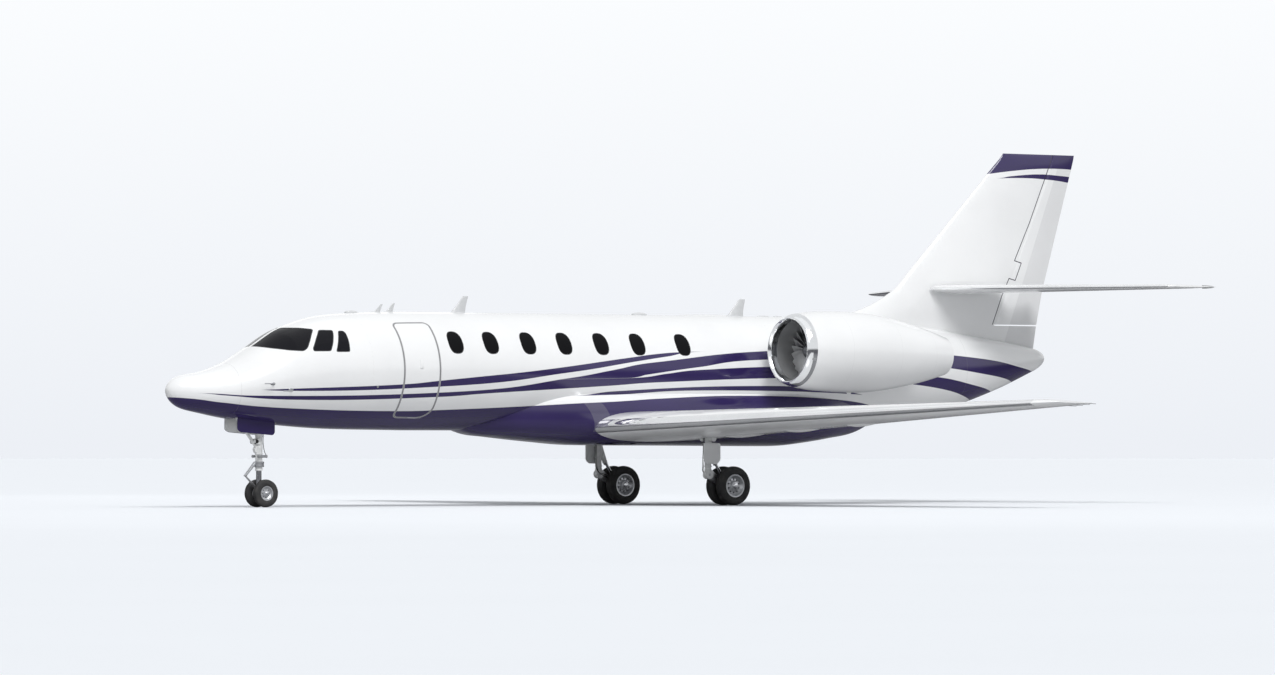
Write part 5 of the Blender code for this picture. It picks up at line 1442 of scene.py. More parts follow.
noseGear = {
    "wheel": (1.85, 0.2285), "leg": 1.80, "offset": 0.125, "tyreWidth": 0.112, "rim": 0.115, "axle": 0.025,
    "holes": 8, "bolts": 8, "grooves": (-0.17, 0.0, 0.17), "foot": 0.60, "trunnion": 1.50,
    "brace": (0.10, 1.53, 0.92),
    "legProfile": [(0, 0), (0, 0.055), (0.004, 0.062), (0.03, 0.062), (0.034, 0.058), (0.34, 0.058),
                   (0.35, 0.062), (0.40, 0.062), (0.41, 0.058), (0.56, 0.058), (0.57, 0.062), (0.97, 0.062),
                   (0.98, 0.055), (0.98, 0)],
    "braceLug": [(0.01, 0.86), (-0.085, 0.90), (-0.105, 0.96), (-0.07, 1.0), (0.01, 1.0)],
    "lampBracket": [(-0.10, 1.045), (-0.10, 1.115), (0, 1.14), (0, 1.02)], "lamp": (-0.045, 0.047, 1.08),
    "lampShell": [(0, 0), (0, 0.022), (0.02, 0.036), (0.062, 0.041), (0.070, 0.041), (0.070, 0.037),
                  (0.055, 0.034), (0.055, 0)],
    "lampLens": [(0.056, 0), (0.056, 0.0365), (0.066, 0.0365), (0.071, 0.025), (0.073, 0.0)],
    "steering": (-0.075, 0.105, 0.082, 0.835), "band": (0.009, 0.050, 0.066, 0.068),
    "bands": (1.42, 1.05, 0.88),
    "line": [(0.068, 0.02, 1.50), (0.074, 0.022, 1.25), (0.072, 0.03, 1.0), (0.085, 0.05, 0.90),
             (0.09, 0.078, 0.86)],
    "steeringRing": [(0, 0.0635), (0, 0.084), (0.004, 0.088), (0.026, 0.088), (0.030, 0.083), (0.060, 0.083),
                     (0.064, 0.088), (0.086, 0.088), (0.09, 0.084), (0.09, 0.0635)],
    "sliderFoot": [(0, 0.02), (0, 0.052), (0.006, 0.056), (0.05, 0.056), (0.075, 0.047), (0.075, 0.02)],
    "apex": (-0.268, 0.52), "arms": (((-0.082, 0.722), ((-0.030, -0.012), (0.012, 0.030))),
                                     ((-0.048, 0.31), ((-0.0115, 0.0115),))),
    "door": [(1.25, 1.47), (1.25, 1.27), (1.32, 1.23), (1.95, 1.18), (1.99, 1.22), (1.99, 1.44)],
    "doorRibs": (1.30, 1.50, 1.70, 1.90),
}
mainGear = {
    "wheel": (10.33, 0.33), "leg": 9.90, "offset": 0.137, "tyreWidth": 0.168, "rim": 0.19, "axle": 0.03,
    "holes": 10, "bolts": 12, "grooves": (-0.21, -0.07, 0.07, 0.21), "pivotZ": 0.52, "trunnion": 1.13,
    "legProfile": [(0, 0), (0, 0.05), (0.006, 0.060), (0.10, 0.060), (0.106, 0.054), (0.30, 0.054),
                   (0.31, 0.060), (0.36, 0.060), (0.37, 0.054), (0.50, 0.054), (0.51, 0.062), (0.645, 0.062),
                   (0.65, 0.055), (0.65, 0)],
    "shock": ((0.03, 1.02), (0.14, 0.72), (-0.10, 0.44)), "band": (0.010, 0.045, 0.0625, 0.0645),
    "bands": (0.66, 0.86),
    "link": [(-0.02, 0.455), (0.10, 0.40), (0.39, 0.275), (0.46, 0.275), (0.49, 0.33), (0.46, 0.38),
             (0.35, 0.43), (0.25, 0.46), (0.05, 0.60), (0.0, 0.60)],
    "pocket": [(0.10, 0.455), (0.33, 0.355), (0.345, 0.385), (0.24, 0.43), (0.12, 0.51)],
    "brake": (0.041, 0.0705, 0.135), "brakeCylinders": (6, 0.118, 0.0195),
    "door": [(-0.19, 1.06), (-0.19, 0.76), (-0.12, 0.70), (0.10, 0.70), (0.17, 0.76), (0.17, 1.05)],
    "doorAt": (0.105, 0.125), "doorArms": (0.80, 0.98),
}


def tyreRing(name, gear, centre):
    # Bead, side wall and crown as one section about the axle: crown = radius - k u^2, with square grooves
    radius, rim, width = gear["wheel"][1], gear["rim"] + 0.001, gear["tyreWidth"]
    h = radius - rim
    wall = [(0.36, 0.01), (0.43, 0.10), (0.495, 0.36), (0.478, 0.62), (0.42, 0.83), (0.33, 0.945)]
    wall = smoothPath(wall, 20) * (width, h) + (0, rim)
    wall[:, 0] += np.where(np.abs(wall[:, 1] - rim - 0.55 * h) < 0.05 * h, 0.0015, 0)
    k = 0.055 * h / (0.33 * width) ** 2

    def crown(u, deep=0.0):
        return u, radius - k * u * u - deep

    grooves = [crown(part * width + shift, deep) for part in gear["grooves"][::-1]
               for shift, deep in ((0.0036, 0), (0.0028, 0.006), (-0.0028, 0.006), (-0.0036, 0))]
    profile = [*wall, crown(0.27 * width), *grooves, crown(-0.27 * width), *(wall * (-1, 1))[::-1]]
    return revolve(name, profile, centre, (0, 1, 0), 96, closed=True, sharp=32)


def ringOf(count, radius, start=0.0):
    # x and z of points evenly round a circle
    turns = (np.arange(count) + start) * math.tau / count
    return [(radius * math.sin(t), radius * math.cos(t)) for t in turns]


def wheelPair(name, gear, centre):
    # Two dished rims on one axle: each is a section (out, radius) turned about it
    rim, offset, face = gear["rim"], gear["offset"], gear["tyreWidth"] * 0.36
    section = [(-face, 0), (-face, rim * 0.80), (-face - 0.004, rim * 0.86), (-face - 0.005, rim + 0.005),
               (-face + 0.001, rim + 0.007), (-face + 0.004, rim), (face - 0.004, rim),
               (face - 0.001, rim + 0.007), (face + 0.005, rim + 0.005), (face + 0.004, rim * 0.91),
               (face * 0.55, rim * 0.83), (face * 0.25, rim * 0.66), (face * 0.30, rim * 0.50),
               (face * 0.55, rim * 0.42), (face * 0.98, rim * 0.37), (face * 1.04, rim * 0.33),
               (face * 1.04, 0)]
    out = offset + face * 1.04
    hubCap = [(out - 0.002, 0), (out - 0.002, rim * 0.25), (out + 0.006, rim * 0.235),
              (out + 0.011, rim * 0.17), (out + 0.013, rim * 0.08), (out + 0.0132, 0)]
    pieces = coloured(steel, crossBar("axle", 0, 0, 0, offset, gear["axle"], 32))
    for side in (-1, 1):
        outline = [(side * (offset + out), r) for out, r in section][::side]
        wheel = revolve("rim", outline, axis=(0, 1, 0), steps=96, sharp=28)
        holes = [bar("hole", (x, side * (offset - face - 0.02), z), (x, side * (offset + face + 0.02), z),
                     rim * 0.088, 20, 0) for x, z in ringOf(gear["holes"], rim * 0.60)]
        pieces += coloured(alloy, carve(wheel, [joined("holes", holes)], sharp=28))
        foot, head = [side * (offset + face * part) for part in (0.3, 0.62)]
        pieces += coloured(steel, *[bar("bolt", (x, foot, z), (x, head, z), rim * 0.032, 6, 0.2)
                                    for x, z in ringOf(gear["bolts"], rim * 0.455, 0.5)])
        outline = [(side * a, r) for a, r in hubCap][::side]
        pieces += coloured(strut, revolve("cap", outline, axis=(0, 1, 0), steps=48))
    pair = joined(name, pieces)
    pair.matrix_world = Matrix.Translation(Vector(centre))
    return settle(pair)


def collar(name, start, end, radius, ends=1.15):
    # A round fitting with a raised ring at each end
    span = np.subtract(end, start)
    long = np.linalg.norm(span)
    w, wide = min(0.018, long * 0.2), radius * ends
    half = [(0, 0), (0, wide - 0.002), (0.002, wide), (w, wide), (w + 0.004, radius)]
    return revolve(name, half + [(long - a, r) for a, r in half[::-1]], start, span, 40, sharp=28)


def crossCollar(name, x, y, z, half, radius, ends):
    return collar(name, (x, y - half, z), (x, y + half, z), radius, ends)


def pillar(name, profile, x, y, z, steps=48, closed=False, sharp=28):
    # A profile of (height, radius) points turned about an upright axis
    return revolve(name, profile, (x, y, z), (0, 0, 1), steps, closed, sharp)


def clamps(gear, x, y):
    # Bands round a leg, each with a chamfered face
    half, inner, edge, face = gear["band"]
    profile = [(-half, inner), (-half, edge), (0.003 - half, face), (half - 0.003, face), (half, edge),
               (half, inner)]
    return [pillar("band", profile, x, y, z, closed=True, sharp=35) for z in gear["bands"]]


def cutPlate(name, outline, x, radius, low, high, bevel, steps=5):
    # A plate with rounded corners and bevelled edges, its outline given from the leg's axis
    outline = roundCorners(np.add(outline, (x, 0)), radius, steps)
    return bevelled(plate(name, outline, *sorted((low, high))), bevel)


# Nose leg, which stays with the airframe

(wheelX, radius), legX = noseGear["wheel"], noseGear["leg"] - halfLength
wheelX -= halfLength
foot, wellHalf = noseGear["foot"], cockpit["well"][2] - gap
aft, braceZ, footZ = noseGear["brace"]
braceX = cockpit["well"][0] - halfLength + aft
parts = coloured(gearPaint, pillar("leg", noseGear["legProfile"], legX, 0, foot),
                 crossCollar("trunnion", legX, 0, noseGear["trunnion"], wellHalf, 0.043, 1.05),
                 collar("brace", (legX, 0, footZ), (braceX, 0, braceZ), 0.026, 1.08))
parts += coloured(steel, crossCollar("bracePin", braceX, 0, braceZ, wellHalf, 0.032, 1.09))
parts += coloured(gearPaint, cutPlate("braceLug", noseGear["braceLug"], legX, 0.015, -0.035, 0.035, 0.003),
                  cutPlate("lampBracket", noseGear["lampBracket"], legX, 0.012, -0.068, 0.068, 0.003))
x, y, z = noseGear["lamp"]
start, end, out, level = noseGear["steering"]
for side in (-1, 1):
    place = (legX + x, side * y, z)
    shell = revolve("lampShell", noseGear["lampShell"], place, (-1, 0, 0), 40, sharp=28)
    pane = revolve("lampLens", noseGear["lampLens"], place, (-1, 0, 0), 40)
    parts += coloured(blackPlastic, shell) + coloured(clearLamp, pane)
    cylinder = [(legX + along, side * out, level) for along in (start, end)]
    parts += coloured(steel, collar("steeringCylinder", *cylinder, 0.021, 1.18))
    lug = blockAt("steeringLug", (legX, side * 0.0625, 0.835), (0.04, 0.025, 0.04), 0.004)
    parts += coloured(gearPaint, lug)
    line = smoothPath([(legX + dx, side * dy, dz) for dx, dy, dz in noseGear["line"]], 36)
    parts += coloured(hose, tube("line", line, 0.0055, 12, up=(0, 1, 0)))
    clips = [blockAt("clip", (legX + 0.069, side * 0.021, height), (0.028, 0.022, 0.012), 0.002)
             for height in (1.38, 1.16)]
    parts += coloured(steel, *clips)
parts += coloured(gearPaint, *clamps(noseGear, legX, 0))
finish(joined("noseGearLeg", parts), "airframe", nodes=["nose_gear_leg"])

parts = coloured(strut, bar("slider", (legX, 0, radius - 0.02), (legX, 0, foot - 0.0006), 0.045, 48, 0.1))
head = crossBar("axleBoss", wheelX, 0, radius, 0.045, 0.05, 48)
carve(head, [crossBar("hole", wheelX, 0, radius, 0.2, 0.0263, 32, 0)])
parts += coloured(steel, pillar("steeringRing", noseGear["steeringRing"], legX, 0, 0.66, 64, True),
                  pillar("sliderFoot", noseGear["sliderFoot"], legX, 0, 0.275, closed=True), head)
apex = np.array(noseGear["apex"])
# The upper torque arm is two plates, and the lower one a single plate between them
for start, sheets in noseGear["arms"]:
    along = (apex - start) / np.linalg.norm(apex - start)
    across = np.array([-along[1], along[0]])
    outline = [start - along * 0.012 + across * 0.019, start - along * 0.012 - across * 0.019,
               apex + along * 0.012 - across * 0.011, apex + along * 0.012 + across * 0.011]
    parts += coloured(steel, *[cutPlate("torqueArm", outline, legX, 0.01, *sheet, 0.002) for sheet in sheets],
                      crossBar("linkPin", legX + start[0], 0, start[1], 0.034, 0.011))
parts += coloured(strut, crossBar("apexPin", legX + apex[0], 0, apex[1], 0.034, 0.010))
topLug = blockAt("topLug", (legX - 0.0875, 0, 0.716), (0.025, 0.023, 0.052), 0.003)
lowLugs = [blockAt("lowLug", (legX - 0.045, y, 0.31), (0.03, 0.021, 0.036), 0.003) for y in (-0.0235, 0.0235)]
parts += coloured(steel, topLug, *lowLugs)
finish(joined("noseGearFork", parts), "nose_fork", nodes=["nose_gear_fork"])
finish(wheelPair("noseWheels", noseGear, (wheelX, 0, radius)), "nose_wheel_pair", nodes=["nose_wheels"])

outline = roundCorners(onBody(noseGear["door"]), 0.03, 6)


def doorLayer(side, near, far):
    # How far out two depths under the nose door's outer face are
    return sorted((side * (wellHalf - near), side * (wellHalf - far)))


for side, word in sides:
    tyre = tyreRing(word + "NoseTyre", noseGear, (wheelX, side * noseGear["offset"], radius))
    finish(tyre, "nose_wheel_pair", rubber, [f"{word}_nose_tyre"])
    pieces = coloured(bodyPaint, plate("doorSkin", outline, *doorLayer(side, 0, 0.004)))
    inner = plate("doorInner", shrunk(outline, 0.006), *doorLayer(side, 0.0041, 0.010))
    pieces += coloured(gearPaint, bevelled(inner, 0.002))
    low, high = doorLayer(side, 0.009, 0.018)
    for station in noseGear["doorRibs"]:
        x = station - halfLength
        rib = block("doorRib", (x - 0.012, low, 1.265), (x + 0.012, high, 1.43), 0.003)
        pieces += coloured(gearPaint, rib)
    finish(joined(word + "NoseGearDoor", pieces), "airframe", nodes=[f"{word}_nose_gear_door"])


# Main legs

def mainLeg(side, word):
    y, legX, pivotZ = side * wing["gearY"], mainGear["leg"] - halfLength, mainGear["pivotZ"]
    (x, radius), half = mainGear["wheel"], wing["well"][2] - gap
    x -= halfLength
    shockTop, shockFoot, rodEnd = [np.array([base + dx, y, z]) for base, (dx, z) in
                                   zip((legX, legX, x), mainGear["shock"])]
    along = (rodEnd - shockFoot) / np.linalg.norm(rodEnd - shockFoot)
    parts = coloured(gearPaint, pillar("leg", mainGear["legProfile"], legX, y, pivotZ),
                     crossCollar("trunnion", legX, y, mainGear["trunnion"], half, 0.048, 1.04),
                     crossCollar("pivotBoss", legX, y, pivotZ, 0.05, 0.070, 1.07),
                     collar("shockBody", shockTop, shockFoot, 0.041, 1.10))
    parts += coloured(strut, bar("shockRod", (legX + 0.10, y, 0.80), rodEnd, 0.026, 40))
    gland = collar("gland", shockFoot - along * 0.01, shockFoot + along * 0.035, 0.036, 1.12)
    parts += coloured(steel, gland, crossBar("pivotBolt", legX, y, pivotZ, 0.064, 0.024, 6))
    parts += coloured(gearPaint, *clamps(mainGear, legX, y))
    for shift in (-0.016, 0.016):
        # The two brake lines run down the leg's inboard side and back to the axle
        line = [(legX - 0.070, 0.02, shift, 1.16), (legX - 0.076, 0.02, shift, 0.92),
                (legX - 0.078, 0.03, shift, 0.70), (legX - 0.05, 0.062, shift * 0.3, 0.56),
                (legX + 0.08, 0.056, shift * 0.2, 0.50 + shift), (x - 0.16, 0.052, 0, 0.445 + shift),
                (x - 0.03, 0.05, 0, radius + 0.07 + shift)]
        line = smoothPath([(a, y - side * inboard + off, z) for a, inboard, off, z in line], 60)
        parts += coloured(hose, tube("brakeLine", line, 0.0055, 12, up=(0.3, 1, 0.2)))
    clips = [blockAt("clip", (legX - 0.068, y - side * 0.022, z), (0.036, 0.052, 0.012), 0.002)
             for z in (1.05, 0.80)]
    parts += coloured(steel, *clips)
    finish(joined(word + "MainGearLeg", parts), "airframe", nodes=[f"{word}_main_gear_leg"])

    link = cutPlate("link", mainGear["link"], legX, 0.022, y - 0.04, y + 0.04, 0.005, 6)
    pocket = roundCorners(np.add(mainGear["pocket"], (legX, 0)), 0.018)
    pockets = [plate("pocket", pocket, *sorted((y + face * 0.024, y + face * 0.06))) for face in (-1, 1)]
    carve(link, pockets + [crossBar("axleHole", x, y, radius, 0.2, 0.0313, 32, 0)])
    parts = coloured(steel, link)
    # A brake is a stack of discs, each second one smaller, with a ring of cylinders
    low, high, reach = mainGear["brake"]
    count, ring, size = mainGear["brakeCylinders"]
    discs = [(a + deep, reach - small) for a, small in zip(np.linspace(low, high - 0.0055, 5), (0, 0.010) * 3)
             for deep in (0, 0.0052)]
    stack = [(low, 0.0313), *discs, (high, 0.0313)]
    for face in (-1, 1):
        profile = [(face * a, r) for a, r in stack][::face]
        parts += coloured(hotMetal, revolve("brakeStack", profile, (x, y, radius), (0, 1, 0), 72,
                                            closed=True, sharp=25))
        for t in np.arange(count) * math.tau / count + 0.3:
            px, pz = x + ring * math.cos(t), radius + ring * math.sin(t)
            ends = [(px, y + face * out, pz) for out in (low, high - 0.0005)]
            parts += coloured(steel, collar("brakeCylinder", *ends, size, 1.08))
    finish(joined(word + "TrailingLink", parts), "airframe", nodes=[f"{word}_trailing_link"])

    wheels = wheelPair(word + "MainWheels", mainGear, (x, y, radius))
    finish(wheels, f"{word}_wheel_pair", nodes=[f"{word}_main_wheels"])
    for offset in (-mainGear["offset"], mainGear["offset"]):
        where = "Outer" if (offset > 0) == (side > 0) else "Inner"
        tyre = tyreRing(word + where + "MainTyre", mainGear, (x, y + offset, radius))
        finish(tyre, f"{word}_wheel_pair", rubber, [f"{word}_{where.lower()}_main_tyre"])

    near, far = [y + side * out for out in mainGear["doorAt"]]
    outline = roundCorners(np.add(mainGear["door"], (legX, 0)), 0.04, 7)
    skin = plate("doorSkin", outline, *sorted((far, far - side * 0.005)))
    inner = plate("doorInner", shrunk(outline, 0.02), *sorted((near, far - side * 0.0051)))
    pieces = coloured(plainPaint, bevelled(skin, 0.0015)) + coloured(gearPaint, bevelled(inner, 0.003))
    for z in mainGear["doorArms"]:
        arm = block("doorArm", (legX - 0.02, y + side * 0.055, z - 0.013),
                    (legX + 0.02, near + side * 0.004, z + 0.013), 0.004)
        bolt = bar("armBolt", (legX, near - side * 0.003, z), (legX, near - side * 0.012, z), 0.009, 6, 0.2)
        pieces += coloured(steel, arm, bolt)
    finish(joined(word + "MainGearDoor", pieces), "airframe", nodes=[f"{word}_main_gear_door"])


for side, word in sides:
    mainLeg(side, word)
print("landing gear made")


# Inside

inside = {
    "floorZ": 1.50, "floor": (2.76, 11.74), "seats": [5.55, 7.25, 8.05, 9.75], "seatY": (0.24, 0.68),
    "pilot": 2.94, "pilotY": (0.17, 0.60), "pressure": 3.0, "cap": 0.014, "voxel": 0.011, "frames": 14,
    "rows": [1.50, 1.72, 1.95, 2.15, 2.38, 2.65, 2.95, 3.2, 3.45, 3.95, 4.9, *row(5.2, 11.7585, 0.5)],
    "panelRows": [1.50, 1.72, 1.95, 2.05, 2.15, 2.26, 2.38, 2.5, 2.65, 2.95, 3.2],
}


def fitted(piece, stations, air=0.0015):
    # Keeps what lies inside the body's inner wall
    room = bodyGrid(stations, -wall - air, innerFloor(np.asarray(stations)) + air)
    return carve(piece, [surface("insideSolid", room)], "INTERSECT")


floorLow, floorHigh = [s - halfLength for s in inside["floor"]]
floorZ = inside["floorZ"]
board = block("board", (floorLow, -1, floorZ - 0.044), (floorHigh, 1, floorZ - 0.008))
pile = block("pile", (floorLow + 0.004, -1, floorZ - 0.0079), (floorHigh - 0.004, 1, floorZ))
parts = coloured(greyTrim, fitted(board, inside["rows"])) + coloured(carpet, fitted(pile, inside["rows"]))
finish(joined("cabinFloor", parts), "airframe", nodes=["cabin_floor"])


def padBlock(name, outline, near, far, pull=0.06, rows=26):
    # A pad: its outline carried across the seat and drawn in towards both sides: size = 1 - pull |t|^4
    t = np.linspace(-1, 1, rows)
    middle = outline.mean(0)
    size = 1 - pull * np.abs(t) ** 4
    size[[0, -1]] -= 0.10
    flat = middle + (outline[None] - middle) * size[:, None, None]
    y = (near + far) / 2 + (far - near) / 2 * t
    grid = np.stack([flat[..., 0], np.repeat(y[:, None], len(outline), 1), flat[..., 1]], -1)
    return surface(name, grid, sharp=60)


def puffed(piece):
    # Cloth filled with air, held near its start, then one subdivision: the pad swells between its edges
    step = piece.modifiers.new("remesh", "REMESH")
    step.mode, step.voxel_size = "VOXEL", inside["voxel"]
    applied(piece, 60)
    rest = read(piece.data.vertices, "co", kind=float)
    cloth = piece.modifiers.new("cloth", "CLOTH")
    cloth.settings.use_pressure = True
    cloth.settings.uniform_pressure_force = inside["pressure"]
    cloth.settings.effector_weights.gravity = 0
    cloth.settings.quality = 4
    scene = bpy.context.scene
    cloth.point_cache.frame_start, cloth.point_cache.frame_end = 1, inside["frames"]
    for frameNumber in range(1, inside["frames"] + 1):
        scene.frame_set(frameNumber)
    applied(piece, 60)
    scene.frame_set(1)
    shift = read(piece.data.vertices, "co", kind=float) - rest
    shift *= np.minimum(1, inside["cap"] / np.maximum(np.linalg.norm(shift, axis=1, keepdims=True), 1e-9))
    piece.data.vertices.foreach_set("co", (rest + shift).ravel())
    piece.data.update()
    step = piece.modifiers.new("smooth", "SUBSURF")
    step.levels = step.render_levels = 1
    return applied(piece, 60)


def seamed(piece, lines, deep=0.006, wide=0.011):
    # Presses channels into a pad along (plane, place) lines: depth = deep * exp(-(distance / wide)^2)
    mesh = piece.data
    co, normal = read(mesh.vertices, "co", kind=float), read(mesh.vertices, "normal")
    for axis, place in lines:
        co = co - normal * (deep * np.exp(-((co @ axis - place) / wide) ** 2))[:, None]
    mesh.vertices.foreach_set("co", co.ravel())
    mesh.update()


def thickened(outline, spacing=0.02):
    # The same closed outline with a point at least every spacing
    closed = np.concatenate([outline, outline[:1]])
    at = np.concatenate([[0], np.cumsum(np.linalg.norm(np.diff(closed, axis=0), axis=1))])
    u = np.linspace(0, at[-1], int(at[-1] / spacing) + 1)[:-1]
    return np.stack([np.interp(u, at, closed[:, i]) for i in (0, 1)], -1)


# Side views of a seat's parts, as (distance behind the seat's front, height)
seat = {
    "pads": [
        ("Cushion", [(-0.02, 1.915), (-0.005, 2.055), (0.42, 2.028), (0.455, 1.93), (0.42, 1.90),
                     (0.02, 1.90)], 0.032),
        ("Back", [(0.405, 2.04), (0.535, 2.42), (0.60, 2.44), (0.655, 2.43), (0.60, 2.20), (0.515, 1.96),
                  (0.44, 1.95)], 0.036),
        ("HeadRest", [(0.545, 2.47), (0.572, 2.655), (0.60, 2.685), (0.665, 2.685), (0.685, 2.65),
                      (0.662, 2.46), (0.60, 2.45)], 0.07),
    ],
    "shell": [(0.395, 1.90), (0.44, 1.93), (0.53, 1.96), (0.63, 2.24), (0.693, 2.60), (0.70, 2.645),
              (0.68, 2.66), (0.61, 2.30), (0.50, 1.99), (0.40, 1.93)],
    "pan": [(-0.01, 1.84), (-0.015, 1.898), (0.46, 1.898), (0.44, 1.85), (0.40, 1.84)],
    "arm": [(0.05, 2.11), (0.03, 2.135), (0.05, 2.16), (0.36, 2.155), (0.40, 2.13), (0.37, 2.105)],
    "post": [(0.20, 1.86), (0.18, 2.11), (0.30, 2.11), (0.34, 1.86)],
    "pedestal": [(0.10, 1.532), (0.10, 1.55), (0.155, 1.60), (0.155, 1.838), (0.325, 1.838), (0.325, 1.60),
                 (0.38, 1.55), (0.38, 1.532)],
    "belt": [(0.40, 0.17, 2.045), (0.30, 0.16, 2.062), (0.22, 0.10, 2.066), (0.18, 0.03, 2.068)],
    "seams": {"edge": 0.085, "back": 2.20, "cushion": 0.20}, "track": (0.48, 0.09, 0.014, 1.5315),
}


def seatSet(name, side, front, facing, near, far, hide):
    # A cushion, a back, a head rest and two arm rests on a pedestal
    low, high = sorted((side * near, side * far))
    middle = (low + high) / 2

    def outlined(points, radius):
        return roundCorners([(front - facing * dx, z) for dx, z in points], radius, 7)

    def pad(title, points, radius, start, end, *shape):
        return padBlock(title, thickened(outlined(points, radius)), start, end, *shape)

    for title, points, edge in seat["pads"]:
        cushion = puffed(pad(name + title, points, 0.035, low + edge, high - edge))
        lines = [((0, 1, 0), low + seat["seams"]["edge"]), ((0, 1, 0), high - seat["seams"]["edge"])]
        if title == "Back":
            lines.append(((0, 0, 1), seat["seams"]["back"]))
        if title == "Cushion":
            lines.append(((1, 0, 0), front - facing * seat["seams"]["cushion"]))
        if title != "HeadRest":
            seamed(cushion, lines)
        finish(cushion, "airframe", hide)
    pieces = coloured(darkLeather, pad("seatShell", seat["shell"], 0.02, low + 0.028, high - 0.028, 0.02, 10))
    pieces += coloured(greyTrim, pad("seatPan", seat["pan"], 0.012, low + 0.02, high - 0.02, 0.02, 10))
    for y in (low + 0.014, high - 0.014):
        pieces += coloured(hide, pad("armRest", seat["arm"], 0.02, y - 0.014, y + 0.014, 0.10, 12))
        post = plate("armPost", outlined(seat["post"], 0.02), y - 0.009, y + 0.009)
        pieces += coloured(greyTrim, bevelled(post, 0.003))
    foot = plate("pedestal", outlined(seat["pedestal"], 0.015), middle - 0.11, middle + 0.11)
    pieces += coloured(greyTrim, bevelled(foot, 0.006))
    long, out, half, top = seat["track"]
    for t in (-1, 1):
        y = middle + t * out
        pieces += coloured(steel, block("seatTrack", (front, y - half, floorZ + 0.0005),
                                        (front - facing * long, y + half, top), 0.004))
    # A lap belt lies across the cushion in two straps and a buckle
    strap = np.array([(-0.022, -0.0015), (0.022, -0.0015), (0.022, 0.0015), (-0.022, 0.0015)])
    for t in (-1, 1):
        path = smoothPath([(front - facing * dx, middle + t * y, z) for dx, y, z in seat["belt"]], 24)
        pieces += coloured(blackPlastic, surface("strap", alongPath(path, strap)))
    buckle = blockAt("buckle", (front - facing * 0.18, middle, 2.071), (0.044, 0.068, 0.014), 0.005)
    return pieces + coloured(strut, buckle)


def seatGroup(name, node, places, near, far, hide):
    pieces = []
    for number, (side, front, facing) in enumerate(places):
        pieces += seatSet(f"{name}{number}", side, front, facing, near, far, hide)
    finish(joined(name + "Frames", pieces), "airframe", nodes=[node])


pilots = [(side, inside["pilot"] - halfLength, -1) for side in (-1, 1)]
seatGroup("pilotSeats", "pilot_seats", pilots, *inside["pilotY"], darkLeather)
facingPairs = [(side, station - halfLength, facing) for side in (-1, 1)
               for station, facing in zip(inside["seats"], (1, -1, 1, -1))]
seatGroup("cabinSeats", "cabin_seats", facingPairs, *inside["seatY"], leather)
print("seats made")


# Instrument panel with blank screens, glare shield, console and control wheels

panel = {
    "face": 2.36, "board": (2.20, 1.98, 2.44),
    "shield": [(2.00, 2.445), (2.00, 2.475), (2.08, 2.505), (2.37, 2.51), (2.40, 2.49), (2.40, 2.455),
               (2.34, 2.44)],
    "console": [(2.30, 1.76), (2.30, 2.02), (2.42, 2.02), (2.60, 1.95), (2.93, 1.93), (2.95, 1.90),
                (2.95, 1.76)],
    "screens": (-0.42, -0.15, 0.15, 0.42), "screenZ": 2.23, "keyZ": 2.129, "knobZ": 2.395,
    "switches": (2.48, 2.88), "lever": ((2.56, 1.94), (2.535, 2.06), 2.065),
    "wheel": (0.39, 2.06, 2.56, 2.10),
}
face = panel["face"] - halfLength
front, low, high = panel["board"]
board = block("panelBoard", (front - halfLength, -1, low), (face - 0.006, 1, high))
shield = plate("glareShield", roundCorners(onBody(panel["shield"]), 0.012, 7), -1, 1)
console = plate("console", roundCorners(onBody(panel["console"]), 0.02, 7), -0.13, 0.13)
parts = coloured(greyTrim, fitted(board, inside["panelRows"], 0.002))
parts += coloured(blackPlastic, fitted(shield, inside["panelRows"], 0.002), bevelled(console, 0.004))
for y in panel["screens"]:
    z = panel["screenZ"]
    parts += coloured(blackPlastic, block("screenFrame", (face - 0.0065, y - 0.118, z - 0.11),
                                          (face + 0.004, y + 0.118, z + 0.11), 0.004))
    parts += coloured(screenGlass, block("screen", (face + 0.0035, y - 0.10, z - 0.09),
                                         (face + 0.0055, y + 0.10, z + 0.09), 0.001))
    keys = [blockAt("key", (face + 0.00575, y + t, panel["keyZ"]), (0.0045, 0.018, 0.011), 0.002)
            for t in np.linspace(-0.08, 0.08, 5)]
    parts += coloured(greyTrim, *keys)
z = panel["knobZ"]
parts += coloured(blackPlastic, *[bar("knob", (face - 0.001, y, z), (face + 0.016, y, z), 0.011, 20)
                                  for y in np.linspace(-0.28, 0.28, 9)])
for station in np.linspace(*panel["switches"], 5):
    z = float(np.interp(station, [2.42, 2.60, 2.93], [2.02, 1.95, 1.93]))
    switches = [blockAt("switchBlock", (station - halfLength, y, z), (0.044, 0.052, 0.012), 0.003)
                for y in (-0.075, 0.0, 0.075)]
    parts += coloured(greyTrim, *switches)
(footX, footZ), (topX, topZ), knobZ = panel["lever"]
for y in (-0.018, 0.018):
    lever = bar("thrustLever", (footX - halfLength, y, footZ), (topX - halfLength, y, topZ), 0.007, 16)
    knob = crossBar("leverKnob", topX - halfLength, y, knobZ, 0.014, 0.014, 20, 0.4)
    parts += coloured(steel, lever) + coloured(blackPlastic, knob)
finish(joined("instrumentPanel", parts), "airframe", nodes=["instrument_panel"])

